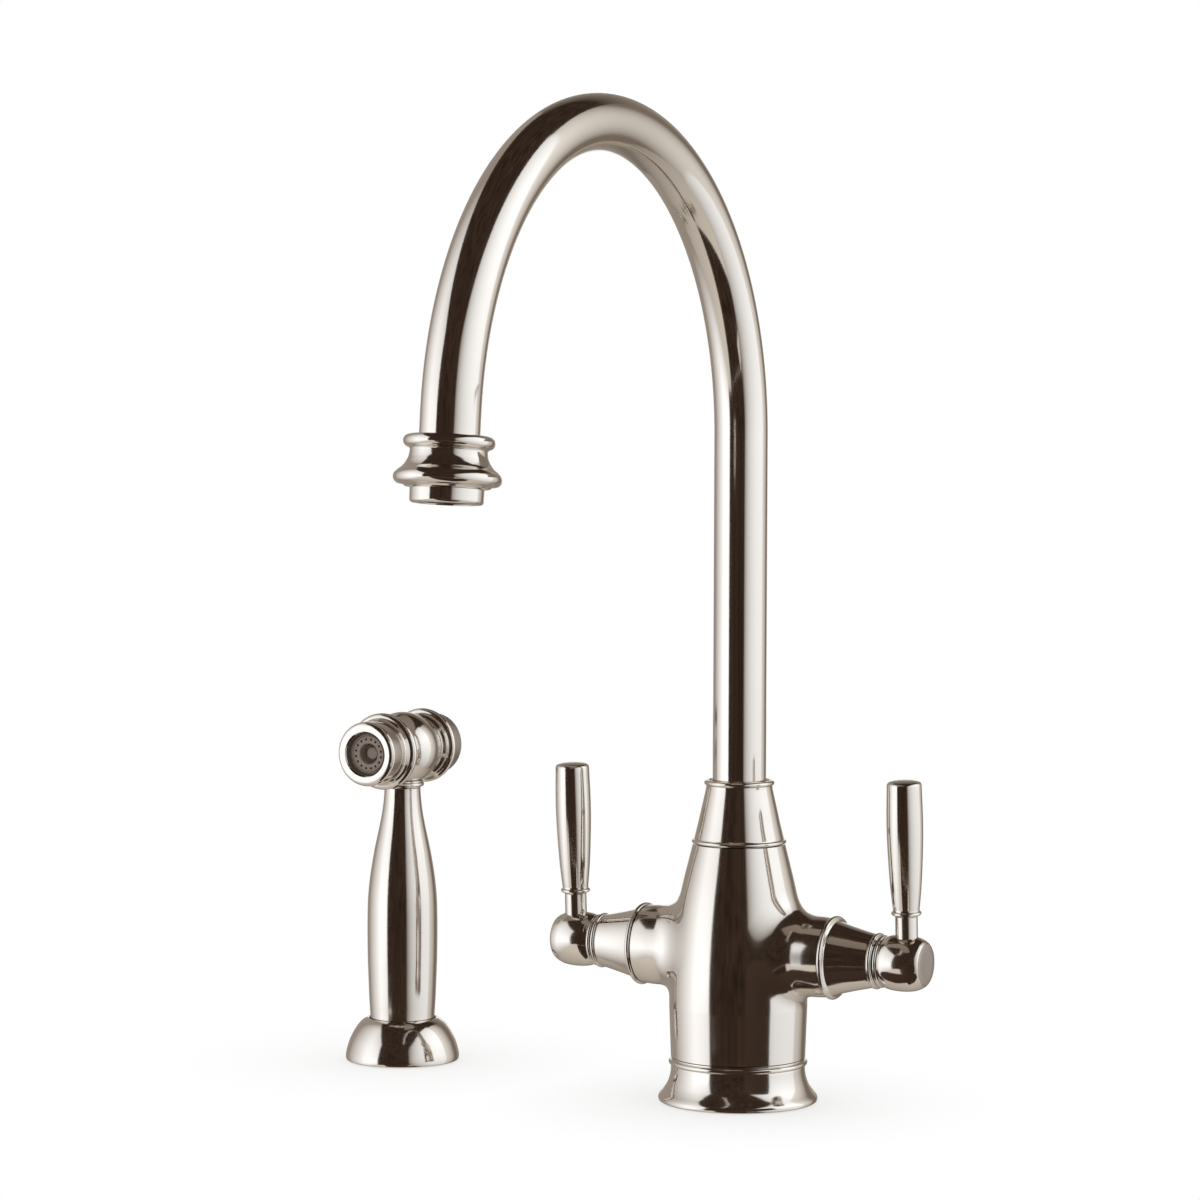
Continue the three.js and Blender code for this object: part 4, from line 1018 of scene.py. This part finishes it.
def thumb_cap():
    outside = [
        (0.0, -26.8), (8.0, -26.8), (10.9, -26.6), *arc(11.2, -25.8, 1.0, -72, 0, 8), (12.2, -17.0),
        (10.6, -17.0), (10.6, -25.2), (4.0, -25.2), (4.0, -20.6), (2.25, -20.6), (2.25, -25.2), (0.0, -25.2),
    ]
    bm = lathe(eased(outside, 0.15), FINE, False)
    bmesh.ops.transform(bm, matrix=HEAD @ Matrix.Scale(MM, 4), verts=bm.verts)
    return mesh_of(bm, "thumb_cap")


finished("head_ball", head_ball(), NICKEL, "spray_head")
finished("barrel", barrel(), NICKEL, "spray_barrel")
finished("hole_plate", hole_plate(), SPRAY_PLASTIC, "spray_plate")
finished("jet_plug", jet_plug(), SPRAY_PLASTIC, "stream_plug")
finished("guide_ring", guide_ring(), NICKEL, "rear_ring")
finished("thumb_cap", thumb_cap(), SATIN_BUTTON, "thumb_button")
SPRING_SEAT = HEAD @ Matrix.Translation((0, 0, -24.35 * MM))
spring = finished(
    "button_spring", coil("button_spring", STEEL, 5.0, 6.4 * MM, 9.8 * MM, 0.5 * MM, SPRING_SEAT),
    STEEL, "return_spring",
)
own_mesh(spring)

# ---------- pieces kept as they are

KEPT = {
    BEARING: ["diverter_body", "slip_ring"],
    BRASS: ["diverter_piston", "spout_spigot", "valve_plunger", "hot_cartridge_body", "cold_cartridge_body",
            "hot_spindle", "cold_spindle"],
    STEEL: ["hot_hub_screw", "cold_hub_screw"],
    RUBBER: ["spigot_oring_lower", "spigot_oring_upper", "aerator_washer", "hot_port_seal", "cold_port_seal",
             "hose_washer", "gland_seal", "plate_seal", "plunger_seal"],
    CERAMIC: ["hot_disc_fixed", "cold_disc_fixed", "hot_disc_turning", "cold_disc_turning"],
}
for material, nodes in KEPT.items():
    for node in nodes:
        for slot in frame["nodes"][node].material_slots:
            slot.material = material

# ---------- floor, light and camera

TO_CAMERA = Vector((0.45972, -0.88806, 0.0))
TO_RIGHT = Vector((0.88806, 0.45972, 0.0))
UP = Vector((0.0, 0.0, 1.0))
MIDDLE = TO_RIGHT * -0.04  # the panels stand round this point


def bearing(degrees):
    """A level direction, counted from the one that points at the camera, positive to the camera's right."""
    turn = math.radians(degrees)
    return TO_CAMERA * math.cos(turn) + TO_RIGHT * math.sin(turn)


def stage_mesh(name, faces, material, seen=False):
    """Flat pieces of the studio. The unseen ones stand only in what the metal mirrors and cast no shadow."""
    mesh = bpy.data.meshes.new(name)
    corners = [corner for face in faces for corner in face]
    mesh.from_pydata(corners, [], [range(4 * k, 4 * k + 4) for k in range(len(faces))])
    mesh.materials.append(material)
    made = bpy.data.objects.new(name, mesh)
    bpy.context.scene.collection.objects.link(made)
    made.visible_camera = made.visible_diffuse = made.visible_shadow = seen
    made.visible_glossy = not seen


class StagePaint(Finish):
    """A material of the studio, which may glow."""

    def glow(self, color):
        return self.node("ShaderNodeEmission", None, {"Color": color, "Strength": 1.0})

    def surface(self, shader):
        out = next(n for n in self.tree.nodes if n.type == "OUTPUT_MATERIAL")
        self.tree.links.new(shader.socket, out.inputs["Surface"])
        return self.material

    def against(self, operation, vector):
        """How far the place is along a direction or from a point."""
        sockets = {0: self.place, 1: vector}
        return self.node("ShaderNodeVectorMath", {"operation": operation}, sockets, out="Value")

    def along(self, direction):
        return self.against("DOT_PRODUCT", direction)

    def ray(self, what):
        return self.node("ShaderNodeLightPath", out=what)


def pale_floor():
    """White, with the object's faint shadow close round each foot, which fades out without a line."""
    paint = StagePaint("pale floor")
    paint.set(Base_Color=(0.96, 0.958, 0.95, 1.0), Roughness=0.9, Specular_IOR_Level=0.0)
    from_tap = paint.against("DISTANCE", (0.0, 0.0, 0.0))
    from_spray = paint.against("DISTANCE", (SPRAY_X * MM, SPRAY_Y * MM, 0.0)) + 0.006
    near = from_tap.maths("MINIMUM", from_tap, from_spray)
    seen = paint.ray("Is Camera Ray") + paint.ray("Is Glossy Ray") + paint.ray("Is Transmission Ray")
    fade = paint.between(near, 0.02, 0.10, 0.55, 1.0) * seen
    sockets = {0: fade, 1: Wire(paint, paint.shader.outputs[0]), 2: paint.glow((1.0, 1.0, 1.0, 1.0))}
    return paint.surface(paint.node("ShaderNodeMixShader", None, sockets))


def studio_ground():
    """The warm grey ground far below in what the metal mirrors, darker towards the back."""
    paint = StagePaint("studio ground")
    behind = paint.between(paint.along(TO_CAMERA), 1.0, -3.0)
    return paint.surface(paint.glow(paint.mix(behind, (0.74, 0.69, 0.63), (0.22, 0.19, 0.165))))


def cloth(name, dark, light, reach=0.0, under=False):
    """Cloth in uneven folds. Where a reach is given, only metal closer than that mirrors it, or only such metal
    under it."""
    paint = StagePaint(name)
    folds = paint.between(paint.noise(3.2, 4.0), 0.32, 0.68)
    lit = paint.glow(paint.mix(folds, dark, light))
    if reach:
        length = paint.ray("Ray Length")
        hidden = length.maths("GREATER_THAN", length, reach)
        if under:
            hidden = hidden.maths("MAXIMUM", hidden, paint.node("ShaderNodeNewGeometry", out="Backfacing"))
        clear = paint.node("ShaderNodeBsdfTransparent")
        lit = paint.node("ShaderNodeMixShader", None, {0: hidden, 1: lit, 2: clear})
    return paint.surface(lit)


def panel(name, facing, away, parts, hot, fades, tones):
    """Lit upright panels that face the middle from one bearing. Each part runs between two bearings and two
    heights. The light is strongest at one bearing and height, and fades over the lengths given for left, right,
    up and down."""
    level = bearing(facing + 90)
    foot = MIDDLE + bearing(facing) * away

    def spot(turn, height):
        return foot + level * away * math.tan(math.radians(turn - facing)) + UP * height

    paint = StagePaint(name)
    left, right, up, down = fades
    over = paint.along(level) - spot(*hot).dot(level)
    rise = paint.along(UP) - hot[1]
    over = over.maths("MAXIMUM", over / right, over / -left)
    rise = rise.maths("MAXIMUM", rise / up, rise / -down)
    share = paint.between((over * over + rise * rise) ** 0.5, 0.0, 1.0, 1.0, 0.0)
    paint.surface(paint.glow(paint.mix(share, *tones)))
    faces = [[spot(a, low), spot(b, low), spot(b, high), spot(a, high)] for a, b, low, high in parts]
    stage_mesh(name, faces, paint.material)


BELOW, ABOVE, SIDE, BACK = UP * -1.5, UP * 4, TO_RIGHT * 4, TO_CAMERA * -4
CORNERS = ((-1, -1), (1, -1), (1, 1), (-1, 1))
BLACK = ((0.015, 0.0085, 0.006), (0.066, 0.042, 0.030))


def room_corner(x, y, level):
    return SIDE * x + BACK * y + level


def room_wall(one, two):
    ends = ((one, BELOW), (two, BELOW), (two, ABOVE), (one, ABOVE))
    return [room_corner(*spot, level) for spot, level in ends]


black = cloth("black cloth", *BLACK)
stage_mesh("floor", [[Vector((x * 6, y * 6, -0.0003)) for x, y in CORNERS]], pale_floor(), True)
stage_mesh("studio ground", [[room_corner(x, y, BELOW) for x, y in reversed(CORNERS)]], studio_ground())

# A dark strip on the ground in front, which the upright bands in the metal run down into.
strip = [
    bearing(turn) * away + BELOW + UP * 0.001
    for turn, away in ((-38, 0.05), (46, 0.05), (46, 2.7), (12, 2.8), (12, 4.0), (-38, 5.0))
]
stage_mesh("front cloth", [strip[:4], [strip[0], *strip[3:]]], black)
ceiling = [room_corner(x, y, ABOVE) for x, y in CORNERS]
walls_of_room = [room_wall(CORNERS[k], CORNERS[n]) for k, n in ((0, 1), (1, 2), (3, 0))]
stage_mesh("dark room", [*walls_of_room, ceiling], black)

# A black cloth at the tap's foot, with its far edge turned up.
near = [bearing(turn) * away for turn, away in ((-42, 0.04), (46, 0.05), (46, 0.1), (8, 0.1), (-42, 0.1))]
stage_mesh(
    "near cloth",
    [near[:4], [near[0], near[3], (near[3] + near[4]) * 0.5, near[4]],
     [near[3], near[2], near[2] + UP * 0.056, near[3] + UP * 0.056]],
    cloth("near cloth", *BLACK, 0.115),
)

# A grey card over the arms, cut away round the spout, which only what stands under it mirrors.
fan = [
    bearing(turn) * away + UP * 0.27
    for turn, reach in (
        (-150, 0.25), (-110, 0.25), (-110, 0.12), (-72, 0.11), (-72, 0.1), (-20, 0.1), (-20, 0.2), (15, 0.2),
    )
    for away in (0.012, reach)
]
stage_mesh(
    "grey card", [[fan[k + 2], fan[k + 3], fan[k + 1], fan[k]] for k in (0, 4, 8, 12)],
    cloth("grey card", (0.22, 0.182, 0.152), (0.31, 0.262, 0.225), 0.27, True),
)
panel(
    "back wall", 180, 4.0,
    ((135, 166, -1.5, 4.0), (194, 225, -1.5, 4.0), (166, 194, -1.5, -0.2), (166, 194, 1.0, 4.0)),
    (180, 0.3), (20.0, 20.0, 3.8, 3.4), ((0.07, 0.052, 0.040), (0.42, 0.375, 0.33)),
)
panel(
    "left softbox", -115, 1.5, ((-170, -51, -1.5, 2.3),), (-78, -0.1), (1.75, 20.0, 4.4, 1.9),
    ((0.36, 0.315, 0.28), (1.46, 1.51, 1.59)),
)
panel(
    "right softbox", 84, 1.5, ((11, 107, -1.5, 2.3),), (95, 0.85), (4.8, 9.0, 3.8, 3.6),
    ((0.10, 0.055, 0.012), (1.42, 1.48, 1.56)),
)
panel(
    "side panel", 84, 1.5, ((107, 156, -1.5, 2.1),), (107, 0.85), (8.0, 1.5, 3.4, 3.4),
    ((0.21, 0.17, 0.14), (1.02, 1.0, 0.97)),
)


def studio_world():
    world = bpy.data.worlds.new("studio")
    world.use_nodes = True
    world.node_tree.nodes["Background"].inputs["Color"].default_value = (1.0, 1.0, 1.0, 1.0)
    bpy.context.scene.world = world


studio_world()
bpy.context.scene.view_settings.view_transform = "Standard"

camera = bpy.data.objects.new("camera", bpy.data.cameras.new("camera"))
bpy.context.scene.collection.objects.link(camera)
camera.data.sensor_width = 36.0
camera.data.lens = 119.6
camera.data.clip_start = 0.05
camera.data.clip_end = 40.0
# The camera's place and turn, solved from the outlines of the round pieces in the photo.
right = Vector((0.88799, 0.45986, 0.00293))
up = Vector((-0.02895, 0.04953, 0.99835))
back = Vector((0.45896, -0.88661, 0.05729))
stand = Matrix.Translation(Vector((638.58, -1347.82, 274.08)) * MM)
camera.matrix_world = stand @ Matrix((right, up, back)).transposed().to_4x4()
bpy.context.scene.camera = camera
